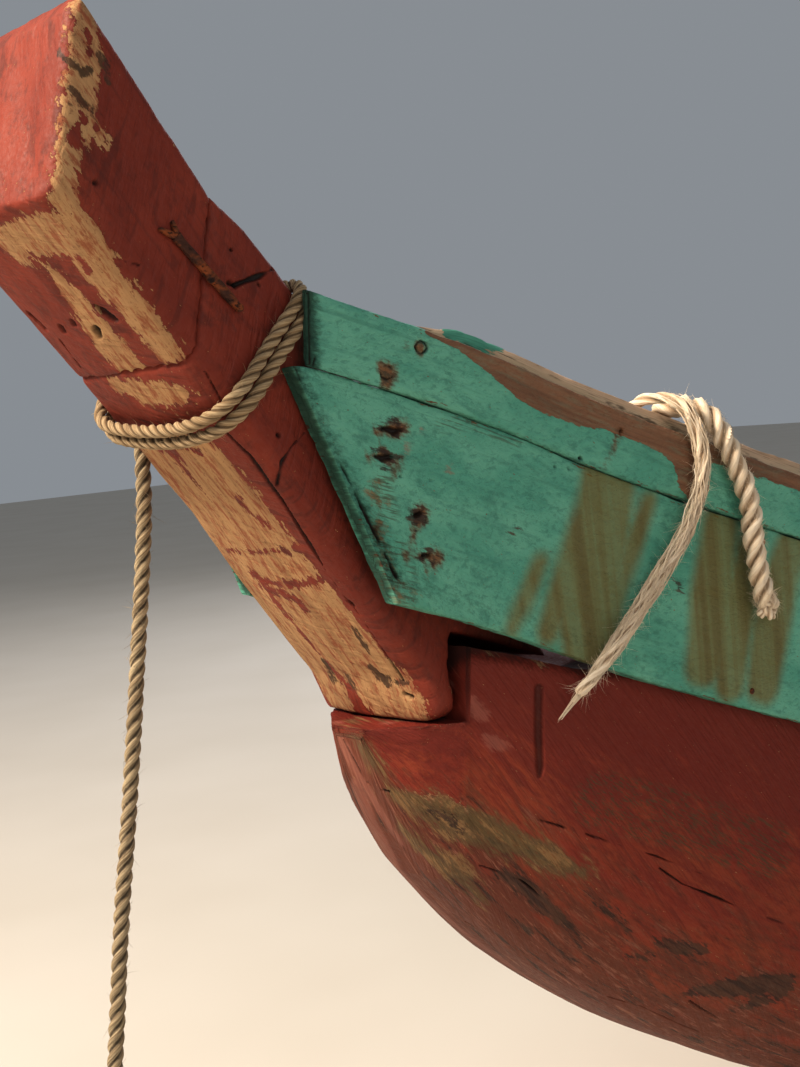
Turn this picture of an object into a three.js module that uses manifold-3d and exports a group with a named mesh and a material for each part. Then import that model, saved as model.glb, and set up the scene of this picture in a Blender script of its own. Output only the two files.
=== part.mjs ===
// Outrigger canoe: a dugout log with two nailed washstrakes a side, a raised
// prow, one float to starboard on two curved booms, and rope lashings.
// Millimetres. +X is the bow, +Y port, +Z up. The origin lies on the ground
// under the flat of the keel, amidships.
import * as THREE from 'three';
import { mergeVertices } from 'three/addons/utils/BufferGeometryUtils.js';
import Module from 'manifold-3d';

const wasm = await Module();
wasm.setup();

// Driving dimensions
const GAP = 0.4;                  // clearance that touching pieces keep
const UPPER_HEIGHT = 80;          // upper washstrake, measured upright
const LOWER_HEIGHT = 234;         // lower washstrake, measured upright
// Lower washstrake over the dugout's edge. Near the ends the edge stays below
// the plank and rounds in from it by the tuck, which leaves a hollow.
const LAP = [
  { s: 0, lap: 45, tuck: 0 },
  { s: 2840, lap: 45, tuck: 0 },
  { s: 2980, lap: 22, tuck: 0 },
  { s: 3093, lap: -6, tuck: 2 },
  { s: 3205, lap: -20, tuck: 27 },
];
const UPPER_THICK = 27;
const TIP_THICK = 8;              // upper washstrake's tips, thinned inside for the rope
const TIP_FROM = 3320;
const LOWER_THICK = 22;
const PROUD = 5;                  // upper washstrake stands out by this much
const WALL_EDGE = 36;             // dugout wall at its edge
const WALL_BILGE = 42;
const WALL_BOTTOM = 52;
const BILGE_RISE = 12;            // inner bilge above the outer one
const CAVITY_END = 2960;          // hollow ends this far from amidships
const RAIL_WIDE = 35;
const RAIL_ABOVE = 26;            // rail above the washstrake's top
const RAIL_BELOW = 35;
const RAIL_TIP = 3285;
const STEM_WIDE = 214;            // prow beam, across
const CORNER = 11;                // worn round of its long corners to starboard
const THWART_THICK = 32;
const THWART_DROP = 37;           // thwart's top below the washstrake's top
const RIB_THICK = 40;
const RIB_DEEP = 36;
const BOOM_RADIUS = 38;
const BOOM_SEAT = 2.5;            // boom above the sloping rail
const BOOM_END_RADIUS = 30;
const BOOM_STEPS = 32;
const BOOM_SIDES = 12;
const FLOAT_Y = -1900;
const FLOAT_RADIUS = 88;
const LINE_DIAMETER = 19;
const TURN_DIAMETER = 15;
const FRAYED_DIAMETER = 18;
const LAID_DIAMETER = 24;

// Sheer line by distance from amidships: s, top of the upper washstrake z,
// its outer face y. Bow and stern are alike.
const SHEER = [
  { s: 0, z: 630, y: 425 },
  { s: 1200, z: 721, y: 418 },
  { s: 1800, z: 840, y: 405 },
  { s: 2300, z: 976, y: 375 },
  { s: 2600, z: 1070, y: 337 },
  { s: 2789, z: 1145, y: 299 },
  { s: 2942, z: 1206, y: 258 },
  { s: 3068, z: 1260, y: 224 },
  { s: 3184, z: 1316, y: 193 },
  { s: 3288, z: 1360, y: 165 },
  { s: 3402, z: 1403, y: 135 },
];

// Dugout below its edge: s, keel z, half width of the keel flat, bilge y, z.
const BOTTOM = [
  { s: 0, keel: 0, foot: 60, y: 368, z: 195 },
  { s: 1300, keel: 0, foot: 60, y: 362, z: 205 },
  { s: 1800, keel: 30, foot: 56, y: 350, z: 245 },
  { s: 2300, keel: 130, foot: 50, y: 320, z: 350 },
  { s: 2600, keel: 245, foot: 46, y: 285, z: 460 },
  { s: 2840, keel: 378, foot: 40, y: 245, z: 575 },
  { s: 2980, keel: 476, foot: 34, y: 205, z: 655 },
  { s: 3093, keel: 572, foot: 30, y: 165, z: 735 },
  { s: 3205, keel: 698, foot: 26, y: 106, z: 808 },
];

// Nose ahead of the notch that the prow beam hangs into, same columns with
// the half width of its flat top.
const NOSE_TOP = 903;
const NOSE = [
  { s: 3206, keel: 699, foot: 26, y: 106, z: 808, top: 117 },
  { s: 3250, keel: 774, foot: 25, y: 76, z: 845, top: 88 },
  { s: 3277, keel: 834, foot: 24, y: 46, z: 872, top: 51 },
  { s: 3293, keel: 889, foot: 22, y: 28, z: 896, top: 31 },
];

// Side outlines in X, Z, counter-clockwise seen from starboard. The third
// value is the round of the port corner along the edge that starts there,
// the fourth how far forward the underside is crowned in its middle.
const NECK = [
  [3209, 907, 0, 0], [3232, 906, 11, 12], [3247.6, 959, 14, 18], [3335, 1073, 20, 14],
  [3406, 1170, 24, 8], [3518.3, 1330.3, 0, 18], [3503.6, 1405, 0, 18], [3480.6, 1504, 11, 18],
  [3440, 1468, 11, 0], [3406, 1428, 11, 0], [3050, 950, 0, 0], [3212, 1010, 0, 0],
  [3220, 960, 0, 0],
];
const HEAD = [
  [3518.7, 1330.9, 22, 18], [3658, 1497, 11, 14], [3622, 1672, 11, 0], [3606, 1690, 11, 0],
  [3481, 1504.4, 0, 18], [3504, 1405, 0, 18],
];
// Lower corners of the prow beam, seen from ahead: port, starboard
const TONGUE_ROUND = [34, 14];

// Stations that the hull and the planks share, from the notch aft
const STATIONS = [3205, 3150, 3093, 3040, 2980, 2910, 2840, 2720, 2600, 2450, 2300, 2050, 1800,
  1550, 1300, 975, 650, 325];
const mirrored = (fore) => fore.concat([0], fore.map((s) => -s).reverse());

// Lengths of the one dugout log, from bow to stern
const LENGTHS = [
  { name: 'bow', from: 2450, to: 3400 },
  { name: 'fore', from: 1250, to: 2450 },
  { name: 'waist_fore', from: 0, to: 1250 },
  { name: 'waist_aft', from: -1250, to: 0 },
  { name: 'aft', from: -2450, to: -1250 },
  { name: 'stern', from: -3400, to: -2450 },
];

const THWARTS = [
  { x: -2300, wide: 130 },
  { x: -1300, wide: 130 },
  { x: -200, wide: 130 },
  { x: 900, wide: 130 },
  { x: 2000, wide: 130 },
  { x: 2880, wide: 90 },
];
const BOOMS = [{ name: 'fore', x: 900 }, { name: 'aft', x: -1300 }];
const RIBS = [-1800, -750, 350, 1450];

const WOOD = { color: 0x96602f, roughness: 0.8, metalness: 0 };
const RED = { color: 0x82371f, roughness: 0.7, metalness: 0 };
const TEAL = { color: 0x4f9a80, roughness: 0.6, metalness: 0 };
const ROPE = { color: 0xc4ab7c, roughness: 0.95, metalness: 0 };
const RUST = { color: 0x4a2a1c, roughness: 0.9, metalness: 0.3 };

const group = new THREE.Group();
group.name = 'outrigger_canoe';

// Adds one named piece to the canoe.
function add(name, geometry, finish) {
  const mesh = new THREE.Mesh(geometry, new THREE.MeshStandardMaterial(finish));
  mesh.name = name;
  group.add(mesh);
}

// Smooth value of one column between the rows of a table, which never swings
// past its rows.
function between(table, column, s) {
  const at = Math.min(Math.max(s, table[0].s), table[table.length - 1].s);
  let i = 0;
  while (i < table.length - 2 && table[i + 1].s < at) i += 1;
  const rate = (k) => (table[k + 1][column] - table[k][column]) / (table[k + 1].s - table[k].s);
  const slope = (k) => {
    if (k === 0) return 0;
    if (k === table.length - 1) return rate(k - 1);
    const [before, after] = [rate(k - 1), rate(k)];
    return before * after <= 0 ? 0 : 2 * before * after / (before + after);
  };
  const step = table[i + 1].s - table[i].s;
  const t = (at - table[i].s) / step;
  const rise = t * t * (3 - 2 * t);
  const start = t * (1 - t) * (1 - t) * step;
  const end = t * t * (t - 1) * step;
  return table[i][column] * (1 - rise) + table[i + 1][column] * rise
    + slope(i) * start + slope(i + 1) * end;
}

const topZ = (x) => between(SHEER, 'z', Math.abs(x));
const topY = (x) => between(SHEER, 'y', Math.abs(x));
const edgeZ = (x) => topZ(x) - UPPER_HEIGHT - LOWER_HEIGHT + between(LAP, 'lap', Math.abs(x));
const plankInner = (x) => topY(x) - PROUD - LOWER_THICK;
const edgeY = (x) => plankInner(x) - 2.5 - between(LAP, 'tuck', Math.abs(x));

// Triangles that close one flat ring, in the ring's own direction.
function capOf(ring) {
  const normal = new THREE.Vector3();
  ring.forEach((p, i) => normal.add(p.clone().cross(ring[(i + 1) % ring.length])));
  const axes = ['x', 'y', 'z'].sort((a, b) => Math.abs(normal[a]) - Math.abs(normal[b]));
  const flat = ring.map((p) => new THREE.Vector2(p[axes[0]], p[axes[1]]));
  const turned = THREE.ShapeUtils.isClockWise(flat);
  const faces = THREE.ShapeUtils.triangulateShape(turned ? [...flat].reverse() : flat, []);
  const back = (i) => (turned ? ring.length - 1 - i : i);
  return faces.map(([a, b, c]) => (turned ? [back(c), back(b), back(a)] : [a, b, c]));
}

// Closed solid through rings of points, with its faces turned outward.
function loft(rings) {
  const count = rings[0].length;
  const points = rings.flat();
  const index = [];
  for (let r = 0; r < rings.length - 1; r += 1) {
    for (let i = 0; i < count; i += 1) {
      const a = r * count + i;
      const b = r * count + (i + 1) % count;
      index.push(a, b, a + count, b, b + count, a + count);
    }
  }
  const last = (rings.length - 1) * count;
  for (const [a, b, c] of capOf(rings[0])) index.push(a, c, b);
  for (const [a, b, c] of capOf(rings[rings.length - 1])) {
    index.push(last + a, last + b, last + c);
  }
  let volume = 0;
  for (let i = 0; i < index.length; i += 3) {
    const [a, b, c] = [points[index[i]], points[index[i + 1]], points[index[i + 2]]];
    volume += a.dot(b.clone().cross(c));
  }
  if (volume < 0) index.reverse();
  const geometry = new THREE.BufferGeometry();
  const flat = points.flatMap((p) => [p.x, p.y, p.z]);
  geometry.setAttribute('position', new THREE.Float32BufferAttribute(flat, 3));
  geometry.setIndex(index);
  return geometry;
}

// Solid of a closed geometry, for cutting and joining.
function solid(geometry) {
  const bare = geometry.clone();
  bare.deleteAttribute('normal');
  bare.deleteAttribute('uv');
  const merged = mergeVertices(bare, 1e-3);
  return new wasm.Manifold(new wasm.Mesh({
    numProp: 3,
    vertProperties: new Float32Array(merged.attributes.position.array),
    triVerts: new Uint32Array(merged.index.array),
  }));
}

function geometryOf(manifold) {
  const mesh = manifold.getMesh();
  const geometry = new THREE.BufferGeometry();
  const position = new THREE.BufferAttribute(new Float32Array(mesh.vertProperties), 3);
  geometry.setAttribute('position', position);
  geometry.setIndex(new THREE.BufferAttribute(new Uint32Array(mesh.triVerts), 1));
  return geometry;
}

const box = (x0, x1, y0, y1, z0, z1) => new THREE.BoxGeometry(x1 - x0, y1 - y0, z1 - z0)
  .translate((x0 + x1) / 2, (y0 + y1) / 2, (z0 + z1) / 2);

// Half section from the keel flat round the bilge to the edge, then mirrored.
function hullRing(x, row, edge) {
  const half = [];
  const steps = 6;
  for (let i = 0; i <= steps; i += 1) {
    const turn = (i / steps) * Math.PI / 2;
    const y = row.foot + (row.y - row.foot) * Math.sin(turn);
    const z = row.z - (row.z - row.keel) * Math.cos(turn);
    half.push([y, z]);
  }
  half.push([(row.y + edge.y) / 2 + row.swell, (row.z + edge.z) / 2]);
  half.push([edge.y, edge.z]);
  const port = half.map(([y, z]) => new THREE.Vector3(x, y, z));
  const starboard = half.map(([y, z]) => new THREE.Vector3(x, -y, z)).reverse();
  return port.concat(starboard);
}

function bottomRow(x) {
  const row = {};
  for (const column of ['keel', 'foot', 'y', 'z']) {
    row[column] = between(BOTTOM, column, Math.abs(x));
  }
  row.swell = 4;
  return row;
}

function makeDugout() {
  const outside = [];
  const hollow = [];
  const noseRing = (sign, row) => hullRing(sign * row.s, { ...row, swell: 0 },
    { y: row.top, z: NOSE_TOP });
  const bodyRing = (x) => hullRing(x, bottomRow(x), { y: edgeY(x), z: edgeZ(x) });
  const all = mirrored(STATIONS);
  for (const row of [...NOSE].reverse()) outside.push(noseRing(1, row));
  for (const x of all) outside.push(bodyRing(x));
  for (const row of NOSE) outside.push(noseRing(-1, row));
  const cavityEnd = (sign) => {
    const x = sign * CAVITY_END;
    const z = edgeZ(x);
    return hullRing(x, { keel: z - 90, foot: 40, y: edgeY(x) - 70, z: z - 50, swell: 0 },
      { y: edgeY(x) - 60, z: z + 60 });
  };
  hollow.push(cavityEnd(1));
  for (const x of all.filter((value) => Math.abs(value) <= 2840)) {
    const row = bottomRow(x);
    row.keel += WALL_BOTTOM;
    row.foot *= 0.8;
    row.y -= WALL_BILGE;
    row.z += BILGE_RISE;
    row.swell = 0;
    hollow.push(hullRing(x, row, { y: edgeY(x) - WALL_EDGE, z: edgeZ(x) + 60 }));
  }
  hollow.push(cavityEnd(-1));
  return solid(loft(outside)).subtract(solid(loft(hollow)));
}

// Outline with each edge moved inward by its own amount.
function insetOutline(outline, insets) {
  const count = outline.length;
  return outline.map(([x, z], i) => {
    const [px, pz] = outline[(i + count - 1) % count];
    const [nx, nz] = outline[(i + 1) % count];
    const before = new THREE.Vector2(x - px, z - pz).normalize();
    const after = new THREE.Vector2(nx - x, nz - z).normalize();
    const in0 = insets[(i + count - 1) % count];
    const in1 = insets[i];
    const cross = before.cross(after);
    if (Math.abs(cross) < 0.15) {
      const slip = (in0 + in1) / 2;
      return [x - after.y * slip, z + after.x * slip];
    }
    // The corner where both moved edges cross
    const a = (in1 - in0 * before.dot(after)) / cross;
    return [x - before.y * in0 - before.x * a, z + before.x * in0 - before.y * a];
  });
}

// Side outline made a beam across Y, its long corners worn round. A crown moves
// the underside forward in the middle, and as much again on the starboard side,
// as it was hewn.
function beam(outline, sign) {
  const half = STEM_WIDE / 2;
  const depths = [0, 0.3 * CORNER, CORNER, 24];   // below a side, where its corners bend
  const starboard = depths.slice(0, 3).map((d) => d - half);
  const port = depths.map((d) => half - d).reverse();
  const rings = [...starboard, -half * 0.45, 0, ...port].map((y) => {
    const deep = half - Math.abs(y);
    const insets = outline.map(([, , worn]) => {
      const round = y > 0 ? worn : Math.min(worn, CORNER);
      const left = Math.max(0, round - deep);
      return round - Math.sqrt(round * round - left * left);
    });
    const share = (1 - (y / half) ** 2) + (half - y) / STEM_WIDE;
    return insetOutline(outline, insets)
      .map(([x, z], i) => new THREE.Vector3(sign * (x + outline[i][3] * share), y, z));
  });
  return loft(rings);
}

// Beam whose lower corners are rounded off, seen from ahead.
function tonguedBeam(outline, sign) {
  const half = STEM_WIDE / 2;
  const low = Math.min(...outline.map(([, z]) => z));
  const high = Math.max(...outline.map(([, z]) => z)) + 10;
  const [port, starboard] = TONGUE_ROUND;
  const front = new THREE.Shape();
  front.moveTo(-half - 1, high);
  front.lineTo(-half - 1, low + starboard);
  front.absarc(-half - 1 + starboard, low + starboard, starboard, Math.PI, 1.5 * Math.PI);
  front.absarc(half + 1 - port, low + port, port, 1.5 * Math.PI, 2 * Math.PI);
  front.lineTo(half + 1, high);
  const tool = new THREE.ExtrudeGeometry(front, {
    depth: 1000, bevelEnabled: false, steps: 1, curveSegments: 6,
  });
  tool.rotateX(Math.PI / 2);
  tool.rotateZ(Math.PI / 2);
  tool.translate(sign > 0 ? 2800 : -3800, 0, 0);
  return geometryOf(solid(beam(outline, sign)).intersect(solid(tool)));
}

// Plank between two heights below the sheer, raked at its ends.
function plank(side, spec) {
  const rings = [];
  for (const x of spec.stations) {
    const rake = spec.rake * Math.max(0, (Math.abs(x) - 3000) / 400) ** 1.5 * Math.sign(x);
    const low = x - rake;
    const corner = (at, inset, drop) => new THREE.Vector3(at,
      side * (topY(at) - inset), topZ(at) - drop);
    const inner = Math.abs(x) > TIP_FROM ? spec.tip : spec.inner;
    rings.push([
      corner(x, spec.outer, spec.top),
      corner(low, spec.outer, spec.bottom),
      corner(low, inner, spec.bottom),
      corner(x, inner, spec.top),
    ]);
  }
  return loft(rings);
}

function stationsTo(end) {
  const fore = [3370, 3330, 3288, 3245].filter((s) => s < end - 20);
  return mirrored([end, ...fore, ...STATIONS]);
}

function rail(side) {
  const rings = [];
  for (const x of stationsTo(RAIL_TIP)) {
    const grown = Math.min(1, (RAIL_TIP - Math.abs(x)) / 90 + 0.08);
    const outer = topY(x) - UPPER_THICK - GAP;
    const at = (inset, z) => new THREE.Vector3(x, side * (outer - inset), topZ(x) + z);
    rings.push([
      at(0, RAIL_ABOVE * grown),
      at(0, -RAIL_BELOW * grown),
      at(RAIL_WIDE * grown, -RAIL_BELOW * grown),
      at(RAIL_WIDE * grown, RAIL_ABOVE * grown),
    ]);
  }
  return loft(rings);
}

// Heights of a thwart's two faces.
function thwartLevels({ x, wide }) {
  const top = Math.min(topZ(x - wide / 2), topZ(x + wide / 2)) - THWART_DROP;
  return [top - THWART_THICK, top];
}

function thwart({ x, wide }) {
  const reach = Math.min(topY(x - wide / 2), topY(x + wide / 2)) - UPPER_THICK - 1;
  const [low, top] = thwartLevels({ x, wide });
  return box(x - wide / 2, x + wide / 2, -reach, reach, low, top);
}

// Inner face of the dugout's wall at one height above the bilge.
function wallInner(x, z) {
  const row = bottomRow(x);
  const low = row.z + BILGE_RISE;
  const t = (z - low) / (edgeZ(x) + 60 - low);
  return (row.y - WALL_BILGE) * (1 - t) + (edgeY(x) - WALL_EDGE) * t;
}

// Grown knee inside the hull, from the bilge up under the rail.
function rib(x, side) {
  const far = Math.abs(x) + RIB_THICK / 2;
  const near = Math.abs(x) - RIB_THICK / 2;
  const foot = bottomRow(far).z + 30;
  const lip = edgeZ(far) + 2;
  const face = plankInner(far) - 3;
  const head = topZ(near) - RAIL_BELOW - 3;
  const wall = (z) => wallInner(far, z) - 5;
  const outline = [
    [wall(foot), foot], [wall(lip), lip], [face, lip], [face, head],
    [face - RIB_DEEP, head], [wall(lip) - RIB_DEEP, lip - 40], [wall(foot) - RIB_DEEP, foot + 6],
  ];
  const shape = new THREE.Shape(outline.map(([y, z]) => new THREE.Vector2(side * y, z)));
  const geometry = new THREE.ExtrudeGeometry(shape, {
    depth: RIB_THICK, bevelEnabled: false, steps: 1,
  });
  geometry.rotateX(Math.PI / 2);
  geometry.rotateZ(Math.PI / 2);
  geometry.translate(x - RIB_THICK / 2, 0, 0);
  return geometry;
}

const boomRise = (x) => topZ(x) + RAIL_ABOVE + BOOM_SEAT + BOOM_RADIUS;

// Tapered round pole along points in Y, Z at one X.
function boom(x) {
  const z = boomRise(x);
  const rest = 2 * FLOAT_RADIUS + BOOM_END_RADIUS + BOOM_SEAT;
  const curve = new THREE.CatmullRomCurve3([
    new THREE.Vector3(x, 520, z),
    new THREE.Vector3(x, 0, z),
    new THREE.Vector3(x, -430, z),
    new THREE.Vector3(x, -850, z - 4),
    new THREE.Vector3(x, -1250, z - 90),
    new THREE.Vector3(x, -1520, rest + 210),
    new THREE.Vector3(x, -1690, rest + 62),
    new THREE.Vector3(x, -1830, rest + 6),
    new THREE.Vector3(x, -2000, rest),
  ], false, 'centripetal');
  const sideways = new THREE.Vector3(1, 0, 0);
  const rings = [];
  for (let i = 0; i <= BOOM_STEPS; i += 1) {
    const t = i / BOOM_STEPS;
    const centre = curve.getPoint(t);
    const up = sideways.clone().cross(curve.getTangent(t)).normalize();
    const slim = Math.min(1, Math.max(0, (t - 0.3) / 0.45));
    const radius = BOOM_RADIUS + (BOOM_END_RADIUS - BOOM_RADIUS) * slim;
    const ring = [];
    for (let k = 0; k < BOOM_SIDES; k += 1) {
      const turn = ((k + 0.5) / BOOM_SIDES) * Math.PI * 2;
      ring.push(centre.clone()
        .addScaledVector(sideways, Math.cos(turn) * radius)
        .addScaledVector(up, Math.sin(turn) * radius));
    }
    rings.push(ring);
  }
  return loft(rings);
}

// Float: x, radius, height of its bottom.
const FLOAT = [
  { x: -2200, r: 26, low: 95 },
  { x: -2120, r: 46, low: 50 },
  { x: -1960, r: 70, low: 14 },
  { x: -1700, r: 86, low: 0 },
  { x: -1300, r: 88, low: 0 },
  { x: 900, r: 88, low: 0 },
  { x: 1160, r: 84, low: 0 },
  { x: 1400, r: 68, low: 16 },
  { x: 1540, r: 46, low: 52 },
  { x: 1610, r: 26, low: 98 },
];

const SLOT_OUT = 62;              // lashing slots each side of a boom
const SLOT_WIDE = 18;
const SLOT_LONG = 46;
const SLOT_GROOVE = 16;           // groove under the float, so no rope bears

function makeFloat() {
  const rings = FLOAT.map(({ x, r, low }) => {
    const ring = [];
    for (let k = 0; k < 16; k += 1) {
      const turn = ((k + 0.5) / 16) * Math.PI * 2;
      const reach = r / Math.cos(Math.PI / 16);
      ring.push(new THREE.Vector3(x, FLOAT_Y + Math.cos(turn) * reach,
        low + r + Math.sin(turn) * reach));
    }
    return ring;
  });
  let log = solid(loft(rings));
  for (const { x } of BOOMS) {
    const y0 = FLOAT_Y - SLOT_LONG / 2;
    const y1 = FLOAT_Y + SLOT_LONG / 2;
    for (const side of [-1, 1]) {
      const a = x + side * SLOT_OUT - SLOT_WIDE / 2;
      log = log.subtract(solid(box(a, a + SLOT_WIDE, y0, y1, -10, 400)));
    }
    const reach = SLOT_OUT + SLOT_WIDE / 2;
    log = log.subtract(solid(box(x - reach, x + reach, y0, y1, -10, SLOT_GROOVE)));
  }
  return geometryOf(log);
}

// Flat band of rope turns around what lies between two heights, axis along Y.
// It keeps its lower width up to the shoulder and rounds over by its crown.
function bandLoop(x, y, spec) {
  const outline = (grow) => {
    const right = [
      [spec.halfLow + grow, spec.low - grow],
      [spec.halfLow + grow, spec.shoulder],
      [spec.halfTop + grow, spec.high - spec.crown * 2],
      [spec.halfTop - spec.crown + grow * 0.6, spec.high - spec.crown * 0.45 + grow * 0.6],
      [16, spec.high + grow],
    ];
    const left = right.map(([across, z]) => [-across, z]).reverse();
    return right.concat(left).map(([across, z]) => new THREE.Vector2(x + across, z));
  };
  const shape = new THREE.Shape(outline(spec.thick));
  shape.holes.push(new THREE.Path(outline(0)));
  const geometry = new THREE.ExtrudeGeometry(shape, {
    depth: spec.wide, bevelEnabled: false, steps: 1,
  });
  geometry.rotateX(Math.PI / 2);
  geometry.translate(0, y + spec.wide / 2, 0);
  return geometry;
}

// Round rope along points.
function ropeTube(points, diameter, steps, sides = 8) {
  const curve = new THREE.CatmullRomCurve3(points.map((p) => new THREE.Vector3(...p)), false,
    'centripetal');
  const circle = new THREE.Shape();
  for (let k = 0; k < sides; k += 1) {
    const turn = (k / sides) * Math.PI * 2;
    const at = [Math.cos(turn) * diameter / 2, Math.sin(turn) * diameter / 2];
    if (k === 0) circle.moveTo(...at);
    else circle.lineTo(...at);
  }
  return new THREE.ExtrudeGeometry(circle, {
    steps, extrudePath: curve, bevelEnabled: false,
  });
}

// Two turns round the prow beam. The loop's plane holds the Y axis and runs
// from the beam's upper edge to its lower edge.
const TURN_TOP = [3381, 1394];
const TURN_LOW = [3483, 1277];
const TURN_CLIMB = [0.62, 0.78];  // up the prow beam
const TURN_PITCH = 17;
const ROPE_CLEAR = 2.8;           // turns off the beam, as their curve cuts its corners
const TURN_SKEW = 0.13;           // starboard side sits further up the beam
const TURN_START = 0.62;          // starts this far down the starboard side

function stemTurns() {
  const along = new THREE.Vector2(TURN_LOW[0] - TURN_TOP[0], TURN_LOW[1] - TURN_TOP[1]);
  const depth = along.length();
  along.normalize();
  const up = new THREE.Vector2(...TURN_CLIMB).normalize();
  const half = STEM_WIDE / 2;
  const clear = TURN_DIAMETER / 2 + ROPE_CLEAR;
  const corner = 9;
  const round = 24;               // of the beam's lower port corner
  const bend = round - (round + clear) * Math.SQRT1_2;
  const loop = [
    [half + clear, corner], [half + clear, depth / 2], [half + clear, depth - round],
    [half - bend, depth - bend], [half - round, depth + clear + 8],
    [0, depth + clear + 18], [corner - half, depth + clear + 13],
    [-half - clear, depth + 4], [-half - clear, depth / 2], [-half - clear, corner],
    [corner - half, -clear], [0, -clear], [half - corner, -clear],
  ];
  const points = [];
  const total = loop.length * 2;
  for (let i = 1; i <= total + 1; i += 1) {
    const [y, level] = loop[(i + 7) % loop.length];
    const down = i === 1 ? depth * TURN_START : level;
    const climb = (i / loop.length - 1) * TURN_PITCH + Math.max(0, -y) * TURN_SKEW + 2;
    points.push([TURN_TOP[0] + along.x * down + up.x * climb, y,
      TURN_TOP[1] + along.y * down + up.y * climb]);
  }
  return ropeTube(points, TURN_DIAMETER, 96);
}

// Bow line's route: from its hitch beside the prow beam down to the ground and
// round to its coil.
const HITCH = [3453, -128.5, 1293];
const HITCH_RADIUS = 20;
const LINE = [
  [3453, -129.5, 1271.5], [3454, -130.5, 1235], [3457, -130.5, 1195], [3463, -130, 1150],
  [3492, -130, 985], [3517, -130, 850], [3544, -130, 715], [3572, -130, 551],
  [3597, -130, 420], [3624, -130, 290], [3650, -130, 170], [3682, -131, 78],
  [3722, -134, 26], [3756, -146, 9.7], [3779, -176, 9.7], [3786, -205, 9.7],
  [3787.5, -229, 9.7],
];
const COIL = { x: 3661, y: -300, mean: 107.5, across: 3, layers: 2 };

function coilRing() {
  const half = COIL.across * LINE_DIAMETER / 2;
  const high = COIL.layers * LINE_DIAMETER;
  const inner = COIL.mean - half;
  const outer = COIL.mean + half;
  const profile = [
    [inner + 5, 0], [outer - 5, 0], [outer, 5], [outer, high - 5], [outer - 5, high],
    [inner + 5, high], [inner, high - 5], [inner, 5], [inner + 5, 0],
  ].map(([r, z]) => new THREE.Vector2(r, z));
  return new THREE.LatheGeometry(profile, 32).rotateX(Math.PI / 2).translate(COIL.x, COIL.y, 0);
}

// Two rope ends that lie over the port rail from a hitch on the bow thwart.
const TAIL_HITCH_Y = 165;
const FRAYED_TAIL = [
  [2906, 150, 1144], [2926, 155, 1175], [2948, 165, 1212], [2956, 179, 1244],
  [2958, 205, 1254], [2956, 235, 1254], [2952, 259, 1243], [2947, 271, 1216],
  [2942, 272, 1190], [2945, 271, 1155], [2958, 268, 1121], [2979, 262, 1088],
  [3024, 250, 1035], [3083, 236, 973], [3133, 224, 929],
];
const LAID_TAIL = [
  [2880, 174, 1146], [2893, 175, 1170], [2909, 179, 1203], [2918, 194, 1235],
  [2920, 217, 1242], [2920, 245, 1241], [2917, 266, 1230], [2911, 279, 1207],
  [2903, 285, 1180], [2891, 289, 1149], [2883, 292, 1112], [2883, 293, 1076],
  [2877, 294, 1033], [2869, 296, 989],
];

// Flat iron dogs nailed across the joint of prow head and beam
const DOG_WIDE = 13;
const DOG_THICK = 8;
const DOGS = [
  { name: 'port', side: 1, from: [3543, 1470], to: [3464, 1384] },
  { name: 'starboard', side: -1, from: [3557, 1490], to: [3478, 1404] },
];

function ironDog({ side, from, to }) {
  const run = new THREE.Vector2(to[0] - from[0], to[1] - from[1]);
  const y = side * (STEM_WIDE / 2 + GAP + DOG_THICK / 2);
  return new THREE.BoxGeometry(run.length(), DOG_THICK, DOG_WIDE)
    .rotateY(-Math.atan2(run.y, run.x))
    .translate((from[0] + to[0]) / 2, y, (from[1] + to[1]) / 2);
}

const log = makeDugout();
for (const { name, from, to } of LENGTHS) {
  const room = box(from + GAP / 2, to - GAP / 2, -600, 600, -10, 1400);
  add(`hull_${name}`, geometryOf(log.intersect(solid(room))), RED);
}
add('prow_neck', tonguedBeam(NECK, 1), RED);
add('prow_head', beam(HEAD, 1), RED);
add('stern_post', tonguedBeam(NECK, -1), RED);

for (const [side, name] of [[1, 'port'], [-1, 'starboard']]) {
  add(`washstrake_lower_${name}`, plank(side, {
    stations: stationsTo(3418), rake: 89, outer: PROUD, inner: PROUD + LOWER_THICK,
    tip: PROUD + LOWER_THICK,
    top: UPPER_HEIGHT + GAP, bottom: UPPER_HEIGHT + LOWER_HEIGHT,
  }), TEAL);
  add(`washstrake_upper_${name}`, plank(side, {
    stations: stationsTo(3396), rake: -6, outer: 0, inner: UPPER_THICK, tip: TIP_THICK,
    top: 0, bottom: UPPER_HEIGHT,
  }), TEAL);
  add(`rail_${name}`, rail(side), WOOD);
  RIBS.forEach((x, i) => add(`rib_${i + 1}_${name}`, rib(x, side), WOOD));
}

THWARTS.forEach((row, i) => add(`thwart_${i + 1}`, thwart(row), WOOD));
for (const { name, x } of BOOMS) {
  add(`boom_${name}`, boom(x), WOOD);
  const seat = THWARTS.find((row) => row.x === x);
  const [low, top] = thwartLevels(seat);
  for (const [side, label] of [[1, 'port'], [-1, 'starboard']]) {
    add(`lashing_${name}_${label}`, bandLoop(x, side * 310, {
      low: low - 1, shoulder: top + 3, high: boomRise(x) + BOOM_RADIUS + 3,
      halfLow: seat.wide / 2 + 1, halfTop: 42, crown: 13, thick: 9, wide: 60,
    }), ROPE);
  }
  add(`lashing_${name}_float`, bandLoop(x, FLOAT_Y, {
    low: 12, shoulder: 60, high: 2 * (FLOAT_RADIUS + BOOM_END_RADIUS) + 12,
    halfLow: 58, halfTop: 58, crown: 13, thick: 9, wide: 40,
  }), ROPE);
}
add('float_log', makeFloat(), WOOD);
add('stem_turns', stemTurns(), ROPE);
add('bow_line_hitch', new THREE.IcosahedronGeometry(HITCH_RADIUS, 2).translate(...HITCH), ROPE);
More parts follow.
